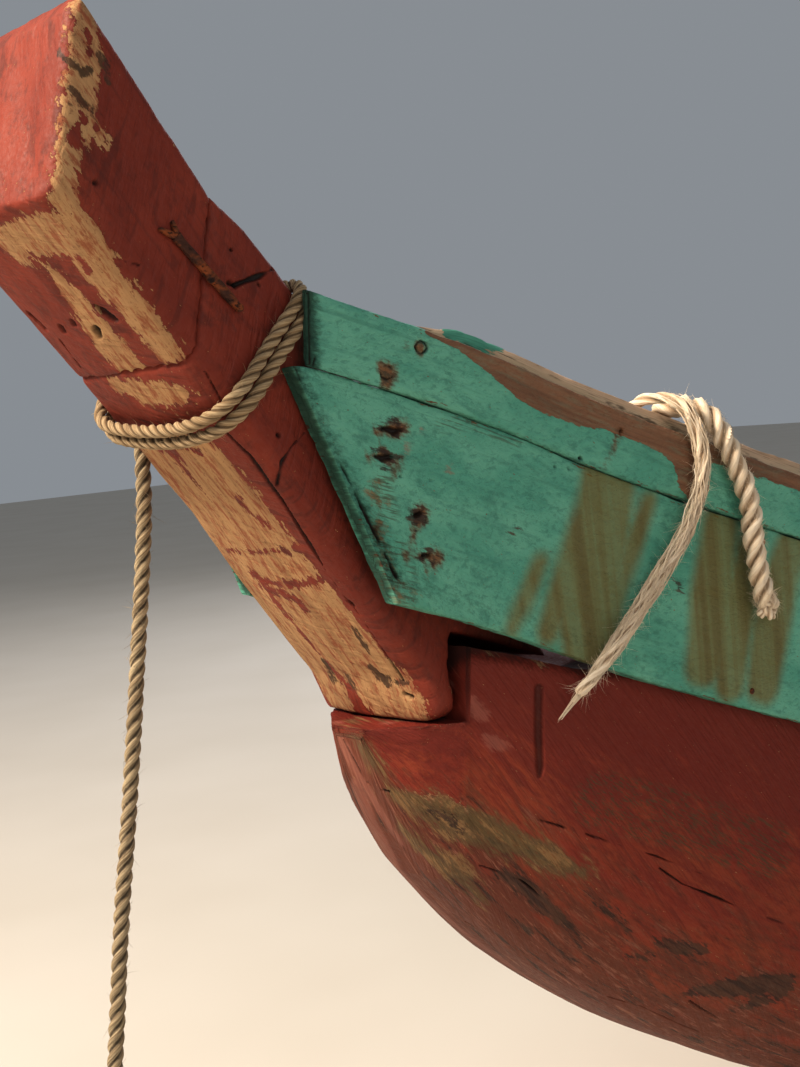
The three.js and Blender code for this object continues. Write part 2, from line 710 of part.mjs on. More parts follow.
add('bow_line', ropeTube(LINE, LINE_DIAMETER, 40), ROPE);
add('bow_line_coil', coilRing(), ROPE);

const bowThwart = THWARTS[THWARTS.length - 1];
const [bowLow, bowTop] = thwartLevels(bowThwart);
add('tail_hitch', bandLoop(bowThwart.x, TAIL_HITCH_Y, {
  low: bowLow - 1, shoulder: bowLow + 5, high: bowTop + 1,
  halfLow: bowThwart.wide / 2 + 1, halfTop: bowThwart.wide / 2 + 1, crown: 0, thick: 12, wide: 56,
}), ROPE);
add('tail_frayed', ropeTube(FRAYED_TAIL, FRAYED_DIAMETER, 26), ROPE);
add('tail_laid', ropeTube(LAID_TAIL, LAID_DIAMETER, 22), ROPE);
for (const dog of DOGS) add(`iron_dog_${dog.name}`, ironDog(dog), RUST);

export default group;
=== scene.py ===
"""Outrigger canoe hewn from one log, with painted washstrakes, a raised prow
beam, one float and rope lashings. Lengths are in millimetres until a mesh is
made, then metres. +X is the bow, +Y port, +Z up."""
import logging
import math
from dataclasses import dataclass, field
from enum import Enum
from itertools import product

import bmesh
import bpy
import numpy as np
from mathutils import Matrix, Vector


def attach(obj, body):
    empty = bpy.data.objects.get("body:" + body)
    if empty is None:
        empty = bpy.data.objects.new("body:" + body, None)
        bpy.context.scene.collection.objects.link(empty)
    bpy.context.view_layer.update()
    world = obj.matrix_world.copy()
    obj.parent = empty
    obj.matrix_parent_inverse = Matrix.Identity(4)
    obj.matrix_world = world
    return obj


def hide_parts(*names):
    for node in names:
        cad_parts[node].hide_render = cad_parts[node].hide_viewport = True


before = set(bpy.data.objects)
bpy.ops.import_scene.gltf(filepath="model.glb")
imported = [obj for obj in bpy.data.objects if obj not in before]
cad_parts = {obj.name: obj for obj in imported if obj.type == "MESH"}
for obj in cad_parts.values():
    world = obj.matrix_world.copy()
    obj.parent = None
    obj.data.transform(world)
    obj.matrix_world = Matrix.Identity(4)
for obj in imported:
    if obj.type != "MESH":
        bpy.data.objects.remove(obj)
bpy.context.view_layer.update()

log = logging.getLogger("canoe")
MM = 0.001
Point = tuple[float, float, float]


# ---------------------------------------------------------------- hull laws

# Sheer: distance from amidships, top of the upper washstrake z, its face y
SHEER = np.array([
    (0, 630, 425), (1200, 721, 418), (1800, 840, 405), (2300, 976, 375), (2600, 1070, 337),
    (2789, 1145, 299), (2942, 1206, 258), (3068, 1260, 224), (3184, 1316, 193), (3288, 1360, 165),
    (3402, 1403, 135)], float)
# Dugout below its edge: distance, keel z, half keel flat, bilge y, bilge z
BOTTOM = np.array([
    (0, 0, 60, 368, 195), (1300, 0, 60, 362, 205), (1800, 30, 56, 350, 245),
    (2300, 130, 50, 320, 350), (2600, 245, 46, 285, 460), (2840, 378, 40, 245, 575),
    (2980, 476, 34, 205, 655), (3093, 572, 30, 165, 735), (3205, 698, 26, 106, 808)], float)
# Lower washstrake over the dugout's edge
LAP = np.array([(0, 45, 0), (2840, 45, 0), (2980, 22, 0), (3093, -6, 2), (3205, -20, 27)], float)
# Nose ahead of the notch: distance, keel z, half keel flat, bilge y, bilge z, half flat top
NOSE = np.array([
    (3206, 699, 26, 106, 808, 118.6), (3250, 774, 25, 76, 845, 88), (3277, 834, 24, 46, 872, 51),
    (3293, 889, 22, 28, 896, 31)], float)
NOSE_TOP = 903.0
UPPER_HEIGHT, LOWER_HEIGHT = 80.0, 234.0
UPPER_THICK, LOWER_THICK, PROUD = 27.0, 22.0, 5.0


def between(table: np.ndarray, column: int, s: np.ndarray) -> np.ndarray:
    """Smooth value of one column between a table's rows, never past its rows.

    Args:
        table: rows that start with the distance from amidships.
        column: column to read.
        s: distances from amidships.

    Returns:
        The column's value at each distance.
    """
    rows, value = table[:, 0], table[:, column]
    rate = np.diff(value) / np.diff(rows)
    slope = np.zeros(len(rows))
    both = rate[:-1] * rate[1:]
    same = both > 0
    slope[1:-1][same] = 2 * both[same] / (rate[:-1] + rate[1:])[same]
    slope[-1] = rate[-1]
    at = np.clip(np.abs(s), rows[0], rows[-1])
    i = np.clip(np.searchsorted(rows, at, side="left") - 1, 0, len(rows) - 2)
    step = rows[i + 1] - rows[i]
    t = (at - rows[i]) / step
    rise = t * t * (3 - 2 * t)
    return (value[i] * (1 - rise) + value[i + 1] * rise
            + slope[i] * t * (1 - t) ** 2 * step + slope[i + 1] * t * t * (t - 1) * step)


def top_z(x: np.ndarray) -> np.ndarray:
    """Height of the upper washstrake's top."""
    return between(SHEER, 1, x)


def top_y(x: np.ndarray) -> np.ndarray:
    """Half breadth at the upper washstrake's face."""
    return between(SHEER, 2, x)


def edge_z(x: np.ndarray) -> np.ndarray:
    """Height of the dugout's edge."""
    return top_z(x) - UPPER_HEIGHT - LOWER_HEIGHT + between(LAP, 1, x)


def edge_y(x: np.ndarray) -> np.ndarray:
    """Half breadth of the dugout at its edge."""
    return top_y(x) - PROUD - LOWER_THICK - 2.5 - between(LAP, 2, x)


# ------------------------------------------------------------------ noise


def hashed(cell: np.ndarray, seed: int) -> np.ndarray:
    """Even values for whole-number cells.

    Args:
        cell: cells, three whole numbers each.
        seed: picks one of many patterns.

    Returns:
        A value from 0 to 1 for each cell.
    """
    mixed = (cell * np.array([73856093, 19349663, 83492791])).sum(-1) + seed * 40503
    for shift in (15, 13, 16):
        mixed = ((mixed ^ (mixed >> shift)) * 0x2C1B3C6D) & 0xFFFFFFFF
    return mixed / 0xFFFFFFFF


def noise(points: np.ndarray, size: float | Point, seed: int) -> np.ndarray:
    """Smooth lumps at points.

    Args:
        points: points in mm.
        size: size of a lump in mm, the same each way or one for each axis.
        seed: picks one of many patterns.

    Returns:
        A value from -1 to 1 at each point.
    """
    at = points / np.asarray(size, float)
    base = np.floor(at).astype(np.int64)
    part = at - base
    part = part * part * (3 - 2 * part)
    total = np.zeros(len(points))
    for corner in product((0, 1), repeat=3):
        weight = np.prod(np.where(corner, part, 1 - part), axis=-1)
        total += weight * hashed(base + np.array(corner), seed)
    return total * 2 - 1


# ------------------------------------------------------------------ wear


class Wear(Enum):
    """What a mark does to a surface."""

    BARE = "bare"
    PAINT = "paint"
    RUST = "rust"
    DARK = "dark"
    STAIN = "stain"
    PINK = "pink"
    SCRATCH = "scratch"
    TEAL = "teal"
    # darkens what it covers by multiplying: dirt, and painted shade under and between parts
    DIRT_AND_SHADE = "dirt_and_shade"
    IRON = "iron"
    HOLE = "hole"
    CRACK = "crack"
    GROOVE = "groove"


@dataclass(frozen=True)
class Mark:
    """One stroke of wear: points x, y, z with the stroke's radius there."""

    kind: Wear
    line: tuple[tuple[float, float, float, float], ...]

    def moved(self, turn: Point, shift: float) -> "Mark":
        """The same mark elsewhere.

        Args:
            turn: factor for each axis, 1 or -1 to mirror it.
            shift: way along X in mm, towards amidships.

        Returns:
            The moved mark.
        """
        return Mark(self.kind, tuple(
            ((x - shift) * turn[0], y * turn[1], z * turn[2], r) for x, y, z, r in self.line))


def stroke(kind: Wear, x: object, y: object, z: object, size: object) -> Mark:
    """One mark from its coordinates and radii, each an array or one value."""
    rows = np.broadcast_arrays(x, y, z, size)
    return Mark(kind, tuple(zip(*(row.astype(float).tolist() for row in rows))))


def strokes(table: dict[Wear, tuple]) -> list[Mark]:
    """Marks from a table that lists the strokes of each kind of wear."""
    return [Mark(kind, line) for kind, lines in table.items() for line in lines]


def shifted(marks: list[Mark], turn: Point, shift: float, *without: Wear) -> list[Mark]:
    """The same marks elsewhere.

    Args:
        marks: marks to repeat.
        turn: factor for each axis, 1 or -1 to mirror them.
        shift: way along X in mm, towards amidships.
        without: kinds that aren't repeated.

    Returns:
        The moved marks.
    """
    return [m.moved(turn, shift) for m in marks if m.kind not in without]


FAR = 60.0                       # marks further off than this don't count, in mm


def depth_in(points: np.ndarray, marks: list[Mark], *kinds: Wear) -> np.ndarray:
    """How deep each point lies inside the marks of some kinds.

    Args:
        points: points in mm.
        marks: marks to look at.
        kinds: kinds that count.

    Returns:
        Depth in mm, negative outside, and -FAR far away.
    """
    depth = np.full(len(points), -FAR)
    for mark in marks:
        if mark.kind not in kinds:
            continue
        line = np.array(mark.line, float)
        low = line[:, :3].min(0) - FAR
        high = line[:, :3].max(0) + FAR
        near = np.nonzero(((points > low) & (points < high)).all(1))[0]
        if not len(near):
            continue
        p = points[near]
        best = np.full(len(near), -FAR)
        if len(line) == 1:
            line = np.vstack([line, line + (0.01, 0, 0, 0)])
        for a, b in zip(line[:-1], line[1:]):
            run = b[:3] - a[:3]
            t = np.clip((p - a[:3]) @ run / max(run @ run, 1e-9), 0, 1)
            away = np.linalg.norm(p - (a[:3] + t[:, None] * run), axis=1)
            best = np.maximum(best, a[3] + t * (b[3] - a[3]) - away)
        depth[near] = np.maximum(depth[near], best)
    return depth


# ------------------------------------------------------------------ meshes


@dataclass
class Surface:
    """A mesh in the making: points in mm, faces, and where each point lies in
    the grain of its material, in mm along, across and through it."""

    points: np.ndarray
    faces: list
    grain: np.ndarray

    def data(self, name: str) -> bpy.types.Mesh:
        """The surface as Blender's mesh, in mm, with its grain.

        Args:
            name: name of the mesh.

        Returns:
            A new mesh.
        """
        mesh = bpy.data.meshes.new(name)
        mesh.from_pydata(self.points, [], self.faces)
        put_grain(mesh, self.grain)
        return mesh


def put_grain(mesh: bpy.types.Mesh, grain: np.ndarray, scale: float = 1.0) -> None:
    """Writes the grain's coordinates; materials read them in metres.

    Args:
        mesh: mesh to write on.
        grain: coordinates of its points.
        scale: MM where they are in millimetres.
    """
    if "grain" not in mesh.attributes:
        mesh.attributes.new("grain", "FLOAT_VECTOR", "POINT")
    mesh.attributes["grain"].data.foreach_set(
        "vector", (grain * scale).astype(np.float32).ravel())


def loft(rings: np.ndarray, grain: np.ndarray, shut: bool = True) -> Surface:
    """Skin through closed rings.

    Args:
        rings: points, ring by ring, each closed on itself.
        grain: the same count of grain coordinates.
        shut: closes both ends with a face.

    Returns:
        The skin.
    """
    rows, count = rings.shape[:2]
    r, i = np.meshgrid(np.arange(rows - 1), np.arange(count), indexing="ij")
    a = (r * count + i).ravel()
    b = (r * count + (i + 1) % count).ravel()
    faces = np.stack([a, b, b + count, a + count], 1).tolist()
    if shut:
        last = (rows - 1) * count
        faces += [tuple(range(count))[::-1], tuple(range(last, last + count))]
    return Surface(rings.reshape(-1, 3), faces, grain.reshape(-1, 3))


def joined(parts: list[Surface]) -> Surface:
    """Several surfaces as one.

    Args:
        parts: the surfaces.

    Returns:
        One surface that holds them side by side.
    """
    starts = np.cumsum([0] + [len(p.points) for p in parts[:-1]])
    faces = [tuple(int(start) + i for i in f) for start, p in zip(starts, parts) for f in p.faces]
    return Surface(np.vstack([p.points for p in parts]), faces, np.vstack([p.grain for p in parts]))


def run_along(points: np.ndarray) -> np.ndarray:
    """How far each point lies along its row, from the row's first point."""
    steps = np.linalg.norm(np.diff(points, axis=-2), axis=-1)
    return np.concatenate([np.zeros((*steps.shape[:-1], 1)), np.cumsum(steps, -1)], -1)


def tidied(mesh: bpy.types.Mesh, merge: float = 0.02) -> None:
    """Merges doubled points and turns the faces outward.

    Args:
        mesh: mesh to mend.
        merge: distance in mm below which points are one.
    """
    work = bmesh.new()
    work.from_mesh(mesh)
    bmesh.ops.remove_doubles(work, verts=work.verts, dist=merge)
    bmesh.ops.recalc_face_normals(work, faces=work.faces)
    work.to_mesh(mesh)
    work.free()


def rows_of(holder: bpy.types.bpy_prop_collection, name: str) -> np.ndarray:
    """One property of a mesh's points.

    Args:
        holder: the mesh's list that holds it.
        name: the property.

    Returns:
        Three numbers a row.
    """
    flat = np.empty(len(holder) * 3, np.float32)
    holder.foreach_get(name, flat)
    return flat.reshape(-1, 3).astype(float)


def points_of(mesh: bpy.types.Mesh) -> np.ndarray:
    """The mesh's points as rows."""
    return rows_of(mesh.vertices, "co")


def put_points(mesh: bpy.types.Mesh, points: np.ndarray) -> None:
    """Moves the mesh's points."""
    mesh.vertices.foreach_set("co", points.astype(np.float32).ravel())
    mesh.update()


def edges_of(mesh: bpy.types.Mesh) -> np.ndarray:
    """The mesh's edges.

    Args:
        mesh: mesh to read.

    Returns:
        Pairs of point numbers.
    """
    flat = np.empty(len(mesh.edges) * 2, np.int32)
    mesh.edges.foreach_get("vertices", flat)
    return flat.reshape(-1, 2)


def averaged(values: np.ndarray, edges: np.ndarray, rounds: int) -> np.ndarray:
    """Each point's value drawn to its neighbours'.

    Args:
        values: one row for each point.
        edges: pairs of neighbours.
        rounds: how often it is repeated.

    Returns:
        The smoothed values.
    """
    links = np.bincount(edges.ravel(), minlength=len(values)).clip(1)
    for _ in range(rounds):
        total = np.stack([
            np.bincount(edges[:, 0], values[edges[:, 1], k], len(values))
            + np.bincount(edges[:, 1], values[edges[:, 0], k], len(values))
            for k in range(values.shape[1])], 1)
        values = (values + total / links[:, None]) / 2
    return values


def keep_float(mesh: bpy.types.Mesh, name: str, values: np.ndarray) -> None:
    """Writes one number for each point, under a name that a material reads."""
    mesh.attributes.new(name, "FLOAT", "POINT")
    mesh.attributes[name].data.foreach_set("value", values.astype(np.float32))


def refined(mesh: bpy.types.Mesh, marks: list[Mark], finest: float) -> None:
    """Halves the edges near holes, cracks and grooves until they are fine
    enough to be cut into the surface.

    Args:
        mesh: mesh in mm.
        marks: marks of the piece.
        finest: edge length in mm that is fine enough.
    """
    for _ in range(3):
        points, edges = points_of(mesh), edges_of(mesh)
        middle = points[edges].mean(1)
        long = np.linalg.norm(points[edges[:, 0]] - points[edges[:, 1]], axis=1)
        near = depth_in(middle, marks, Wear.HOLE, Wear.CRACK, Wear.GROOVE) > -0.75 * long - 1.5
        chosen = np.nonzero(near & (long > finest))[0]
        if not len(chosen):
            break
        work = bmesh.new()
        work.from_mesh(mesh)
        work.edges.ensure_lookup_table()
        bmesh.ops.subdivide_edges(
            work, edges=[work.edges[i] for i in chosen], cuts=1, use_grid_fill=True)
        bmesh.ops.triangulate(work, faces=[f for f in work.faces if len(f.verts) > 4])
        work.to_mesh(mesh)
        work.free()


@dataclass(frozen=True)
class Hewing:
    """How uneven a wooden surface is, in mm: long adze waves, then small
    lumps, each with its size along and across the grain, and worn arrises."""

    wave: float = 1.2
    wave_long: float = 240
    wave_wide: float = 70
    lump: float = 0.5
    lump_long: float = 50
    lump_wide: float = 16
    arris: float = 1.0
    seed: int = 1


CRACK_DEEP, HOLE_DEEP, GROOVE_DEEP = 4.2, 6.5, 5.0     # mm
FINEST = 1.9                     # mesh size in mm near what is cut in
# Wear that materials show; the other kinds are cut into the surface
PAINTED_ON = (Wear.BARE, Wear.RUST, Wear.DARK, Wear.STAIN, Wear.PINK, Wear.SCRATCH, Wear.TEAL,
              Wear.DIRT_AND_SHADE, Wear.IRON)


def worked(mesh: bpy.types.Mesh, marks: list[Mark], hewing: Hewing) -> None:
    """Gives a wooden mesh its tool marks, cracks, holes and wear.

    Args:
        mesh: mesh in mm that carries its grain.
        marks: marks that lie on it.
        hewing: how rough it is.
    """
    refined(mesh, marks, FINEST)
    grain = rows_of(mesh.attributes["grain"].data, "vector")
    points, normals = points_of(mesh), rows_of(mesh.vertex_normals, "vector")
    edges = edges_of(mesh)
    soft = averaged(points, edges, 8)
    rise = np.einsum("ij,ij->i", points - soft, normals)
    edge = np.clip(averaged(rise[:, None], edges, 1)[:, 0] / 1.6, -1, 1)
    push = hewing.wave * noise(
        grain, (hewing.wave_long, hewing.wave_wide, hewing.wave_wide), hewing.seed)
    push += hewing.lump * noise(
        grain, (hewing.lump_long, hewing.lump_wide, hewing.lump_wide), hewing.seed + 7)
    chip = noise(grain, (26, 9, 9), hewing.seed + 3)
    chip += 0.5 * noise(grain, (9, 5, 5), hewing.seed + 4)
    push -= hewing.arris * np.clip(edge, 0, 1) * np.clip(chip + 0.35, 0, 1.4)
    depth = {kind: depth_in(points, marks, kind) for kind in Wear}
    crack = depth[Wear.CRACK] + 0.7 * noise(grain, (14, 6, 6), hewing.seed + 8)
    crack += 1.7 * noise(grain, (48, 20, 20), hewing.seed + 6) - 0.35
    pit = np.clip((crack + 0.9) / 1.6, 0, 1)
    uneven = np.clip(1 + 0.5 * noise(grain, (40, 40, 40), 5), 0.4, 1.5)
    ragged = depth[Wear.HOLE] + 1.1 * noise(grain, (7, 4, 4), hewing.seed + 9)
    sunk = np.clip((ragged + 0.8) / 3.2, 0, 1)
    cut = np.clip((depth[Wear.GROOVE] + 1.5) / 4.5, 0, 1)
    push -= CRACK_DEEP * pit ** 0.7 * uneven + HOLE_DEEP * sunk + GROOVE_DEEP * cut
    put_points(mesh, points + normals * push[:, None])
    depth[Wear.BARE] = np.minimum(depth[Wear.BARE], -depth[Wear.PAINT])
    for kind in PAINTED_ON:
        keep_float(mesh, kind.value, depth[kind])
    # pit makes carved cracks, holes and grooves near-black: painted shade in the recesses
    keep_float(mesh, "pit", np.clip(pit * 1.3 + sunk + 0.5 * cut, 0, 1))
    keep_float(mesh, "edge", edge)
    put_grain(mesh, grain, MM)


@dataclass(frozen=True)
class Piece:
    """What a finished mesh is called and belongs to."""

    name: str
    finish: bpy.types.Material
    slot: str
    nodes: tuple[str, ...] = ()

    def place(self, mesh: bpy.types.Mesh) -> bpy.types.Object:
        """Turns a mesh in mm into the piece, in metres, on its body.

        Args:
            mesh: the finished mesh.

        Returns:
            The new object.
        """
        put_points(mesh, points_of(mesh) * MM)
        mesh.polygons.foreach_set("use_smooth", [True] * len(mesh.polygons))
        mesh.set_sharp_from_angle(angle=math.radians(55))
        mesh.materials.clear()
        mesh.materials.append(self.finish)
        made = bpy.data.objects.new(self.name, mesh)
        bpy.context.scene.collection.objects.link(made)
        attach(made, "root")
        if self.nodes:
            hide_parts(*self.nodes)
        log.info("%s: %d faces", self.name, len(mesh.polygons))
        return made


def carried(name: str, voxel: float, along: Point) -> bpy.types.Mesh:
    """Copy of a CAD node's mesh with an even net of faces and its grain.

    Args:
        name: CAD node to copy.
        voxel: size of the net in mm.
        along: direction of the grain.

    Returns:
        A new mesh in mm.
    """
    work = bmesh.new()
    work.from_mesh(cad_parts[name].data)
    bmesh.ops.scale(work, vec=(1000, 1000, 1000), verts=work.verts)
    bmesh.ops.remove_doubles(work, verts=work.verts, dist=0.01)
    mesh = bpy.data.meshes.new(name + "_net")
    work.to_mesh(mesh)
    work.free()
    holder = bpy.data.objects.new("net", mesh)
    bpy.context.scene.collection.objects.link(holder)
    remesh = holder.modifiers.new("net", "REMESH")
    remesh.mode = "VOXEL"
    remesh.voxel_size = voxel
    bpy.context.view_layer.update()
    seen = holder.evaluated_get(bpy.context.evaluated_depsgraph_get())
    net = bpy.data.meshes.new_from_object(seen)
    bpy.data.objects.remove(holder)
    points = averaged(points_of(net), edges_of(net), 2)
    put_points(net, points)
    main = Vector(along).normalized()
    side = Vector((0, 1, 0)) if abs(main.y) < 0.7 else Vector((1, 0, 0))
    through = main.cross(side).normalized()
    turn = np.array([main, side, through])
    put_grain(net, points @ turn.T)
    return net


# ------------------------------------------------------------------ finishes

Links = dict[str | int, object]


def linear(code: str) -> tuple[float, float, float, float]:
    """Turns an sRGB hex colour into the linear one that shaders use.

    Args:
        code: six hex digits.

    Returns:
        Red, green, blue and alpha.
    """
    parts = [int(code[i:i + 2], 16) / 255 for i in (0, 2, 4)]
    red, green, blue = (
        p / 12.92 if p <= 0.04045 else ((p + 0.055) / 1.055) ** 2.4 for p in parts)
    return red, green, blue, 1.0


def node(tree: bpy.types.NodeTree, kind: str, links: Links | None = None,
         **settings: object) -> bpy.types.Node:
    """Adds one node to a finish.

    Args:
        tree: the finish's node tree.
        kind: Blender's name of the node.
        links: value or other node's socket for each input.
        settings: the node's own settings.

    Returns:
        The new node.
    """
    made = tree.nodes.new(kind)
    for name, value in settings.items():
        setattr(made, name, value)
    for socket, value in (links or {}).items():
        if isinstance(value, bpy.types.NodeSocket):
            tree.links.new(value, made.inputs[socket])
        else:
            made.inputs[socket].default_value = value
    return made


class Recipe:
    """Node tree of one finish, with the few steps that its layers share."""

    def __init__(self, name: str) -> None:
        """Starts an empty finish.

        Args:
            name: the finish's name.
        """
        self.material = bpy.data.materials.new(name)
        self.material.use_nodes = True
        self.tree = self.material.node_tree
        self.tree.nodes.clear()
        read = node(self.tree, "ShaderNodeAttribute", attribute_name="grain")
        self.grain = read.outputs["Vector"]

    def worn(self, name: str) -> bpy.types.NodeSocket:
        """How deep a point lies in one kind of wear, as its mesh keeps it."""
        return node(self.tree, "ShaderNodeAttribute", attribute_name=name).outputs["Fac"]

    def lumps(self, long: float, wide: float, detail: float, seed: float,
              rough: float = 0.6, slant: float = 0.0) -> bpy.types.NodeSocket:
        """Noise drawn out along the grain.

        Args:
            long: size of a lump along the grain, in mm.
            wide: size across the grain, in mm.
            detail: finer layers on top.
            seed: place in the noise.
            rough: weight of the finer layers.
            slant: turn away from the grain, in radians.

        Returns:
            A value about 0.5.
        """
        place = node(self.tree, "ShaderNodeMapping", {
            "Vector": self.grain, "Scale": (long * MM, wide * MM, wide * MM),
            "Location": (seed, seed * 1.7, seed * 0.6), "Rotation": (0, slant, slant)},
            vector_type="TEXTURE")
        return node(self.tree, "ShaderNodeTexNoise", {
            "Vector": place.outputs[0], "Scale": 1.0, "Detail": detail,
            "Roughness": rough}).outputs["Fac"]

    def sum(self, first: object, second: object, how: str = "ADD",
            clamp: bool = False) -> bpy.types.NodeSocket:
        """One sum of two values.

        Args:
            first: value or socket.
            second: value or socket.
            how: name of the sum.
            clamp: keeps the result from 0 to 1.

        Returns:
            The result.
        """
        return node(self.tree, "ShaderNodeMath", {0: first, 1: second},
                    operation=how, use_clamp=clamp).outputs[0]

    def times(self, first: object, second: object) -> bpy.types.NodeSocket:
        """One value times another."""
        return self.sum(first, second, "MULTIPLY")

    def ramp(self, value: object, low: float, high: float, start: float = 0,
             end: float = 1) -> bpy.types.NodeSocket:
        """A value's rise between two limits.

        Args:
            value: value to read.
            low: value where the rise starts.
            high: value where it ends.
            start: result below it.
            end: result above it.

        Returns:
            The result.
        """
        return node(self.tree, "ShaderNodeMapRange", {
            "Value": value, "From Min": low, "From Max": high, "To Min": start,
            "To Max": end}, interpolation_type="SMOOTHSTEP").outputs["Result"]

    def mix(self, share: object, below: object, above: object,
            how: str = "MIX") -> bpy.types.NodeSocket:
        """One colour laid over another.

        Args:
            share: how much of the upper one shows.
            below: hex colour or socket.
            above: hex colour or socket.
            how: name of the blend.

        Returns:
            The colour.
        """
        pair = [linear(c) if isinstance(c, str) else c for c in (below, above)]
        return node(self.tree, "ShaderNodeMix", {0: share, 6: pair[0], 7: pair[1]},
                    data_type="RGBA", blend_type=how).outputs[2]

    def close(self, colour: object, rough: object, height: object, depth: float,
              ior: float = 1.5, metal: object = 0.0) -> bpy.types.Material:
        """Ends the finish in one shader with its relief.

        Args:
            colour: colour of the surface.
            rough: its roughness.
            height: relief, where 1 is the full depth.
            depth: depth of the relief in mm.
            ior: index of refraction.
            metal: how much of it is metal.

        Returns:
            The finished material.
        """
        relief = node(self.tree, "ShaderNodeBump", {
            "Height": height, "Distance": depth * MM, "Strength": 1.0})
        shader = node(self.tree, "ShaderNodeBsdfPrincipled", {
            "Base Color": colour, "Roughness": rough, "Normal": relief.outputs[0],
            "IOR": ior, "Metallic": metal})
        node(self.tree, "ShaderNodeOutputMaterial", {"Surface": shader.outputs[0]})
        return self.material


@dataclass(frozen=True)
class PaintedTimber:
    """Oil paint brushed on hewn timber and weathered: chalky, scored by the
    adze across its grain, flaked in small ragged chips, bare wood below."""

    name: str
    paint: str
    faded: str
    deep: str
    wood: str
    wood_deep: str
    sliver_long: float = 24      # paint leaves in chips of about 24 x 7 mm
    sliver_wide: float = 7
    patch: float = 90            # faded and deeper patches
    fibre_long: float = 34       # fibres stand out 1.2 mm apart, real ones 0.3
    fibre_wide: float = 1.2
    score_long: float = 9        # adze cuts, 9 mm apart and 60 mm long
    score_wide: float = 60
    loss: float = 0.70           # noise 0.19 above this has lost its paint
    ragged: float = 1.0          # how ragged a bare patch's rim is
    haze: float = 0.66           # paint left in the bare wood's pores
    chalk: float = 0.48          # how strongly rubbed places show pale
    rough: float = 0.68

    def material(self) -> bpy.types.Material:
        """The finish: paint, its wear and the wood under it.

        Returns:
            The finished material.
        """
        r = Recipe(self.name)
        sliver = r.lumps(self.sliver_long, self.sliver_wide, 5, 3.1, 0.62)
        chip = r.lumps(8, 4.5, 4, 8.3, 0.65)
        fibre = r.lumps(self.fibre_long, self.fibre_wide, 2, 1.7)
        streak = r.lumps(180, 9, 4, 5.9)
        score = r.lumps(self.score_long, self.score_wide, 3, 4.7, 0.55, slant=0.55)
        edge = r.worn("edge")
        # Paint is lost in the marks, in chips round them, and on arrises
        ragged = r.sum(r.ramp(sliver, 0.3, 0.7, -5, 5), r.ramp(chip, 0.3, 0.7, -3, 3))
        ragged = r.times(ragged, self.ragged)
        lost = r.ramp(r.sum(r.worn("bare"), ragged), -0.35, 0.35)
        flake = r.sum(r.sum(sliver, r.times(chip, 0.35)), r.times(edge, 0.16))
        flaked = r.ramp(flake, self.loss + 0.19, self.loss + 0.205)
        lost = r.sum(lost, flaked, "MAXIMUM")
        pinholes = r.ramp(r.lumps(5, 3.2, 2, 12.4), 0.72, 0.74)
        lost = r.sum(lost, pinholes, "MAXIMUM")
        colour = r.mix(lost, self.coat(r, streak, fibre, score), self.bared(r, streak, fibre))
        # A paint film's broken edge catches a thin line of dirt
        rim = r.times(r.ramp(lost, 0.02, 0.5), r.ramp(lost, 0.5, 0.98, 1, 0))
        colour = r.mix(r.times(rim, 0.6), colour, self.deep)
        colour = self.weathered(r, colour, sliver, chip, streak)
        height = r.sum(r.sum(1.0, lost, "SUBTRACT"),
                       r.times(fibre, r.ramp(lost, 0, 1, 0.3, 0.7)))
        height = r.sum(height, r.times(chip, 0.6))
        height = r.sum(height, r.ramp(score, 0.42, 0.6, 0, -1.1))
        rough = r.ramp(lost, 0, 1, self.rough, 0.88)
        rough = r.sum(rough, r.ramp(chip, 0.3, 0.7, -0.08, 0.1))
        rough = r.sum(rough, r.ramp(r.worn("dirt_and_shade"), -9, 5, 0, 0.5), clamp=True)
        return r.close(colour, rough, height, 0.6, ior=1.45)

    def coat(self, r: Recipe, streak: bpy.types.NodeSocket, fibre: bpy.types.NodeSocket,
             score: bpy.types.NodeSocket) -> bpy.types.NodeSocket:
        """Colour of the paint: clouded, darker in the adze cuts.

        Args:
            r: the finish in the making.
            streak: noise of long streaks.
            fibre: noise of fibres.
            score: noise of the adze cuts.

        Returns:
            The colour.
        """
        cloud = r.lumps(self.patch * 1.6, self.patch, 5, 2.2, 0.66)
        mottle = r.lumps(30, 19, 5, 11.3, 0.72)
        paint = r.mix(r.ramp(cloud, 0.38, 0.64), self.paint, self.faded)
        paint = r.mix(r.ramp(mottle, 0.5, 0.7, 0, 0.6), paint, self.deep)
        paint = r.mix(r.ramp(mottle, 0.3, 0.42, 0.35, 0), paint, self.faded)
        paint = r.mix(r.ramp(streak, 0.54, 0.72, 0, 0.4), paint, self.deep)
        paint = r.mix(r.ramp(score, 0.56, 0.66, 0, 0.5), paint, self.deep)
        return r.mix(r.ramp(fibre, 0.6, 0.74, 0, 0.25), paint, self.deep)

    def bared(self, r: Recipe, streak: bpy.types.NodeSocket,
              fibre: bpy.types.NodeSocket) -> bpy.types.NodeSocket:
        """Colour of the wood: tan, with a haze of paint left in its pores.

        Args:
            r: the finish in the making.
            streak: noise of long streaks.
            fibre: noise of fibres.

        Returns:
            The colour.
        """
        wood = r.mix(r.ramp(streak, 0.38, 0.7, 0, 0.7), self.wood, self.wood_deep)
        wood = r.mix(r.ramp(fibre, 0.54, 0.75, 0, 0.45), wood, self.wood_deep)
        haze = r.ramp(r.lumps(30, 7, 5, 6.6, 0.72), 0.48, 0.62, 0, self.haze)
        wood = r.mix(haze, wood, self.faded)
        speck = r.ramp(r.lumps(6, 3, 3, 10.3), 0.6, 0.68, 0, 0.55)
        return r.mix(speck, wood, "6e4630")

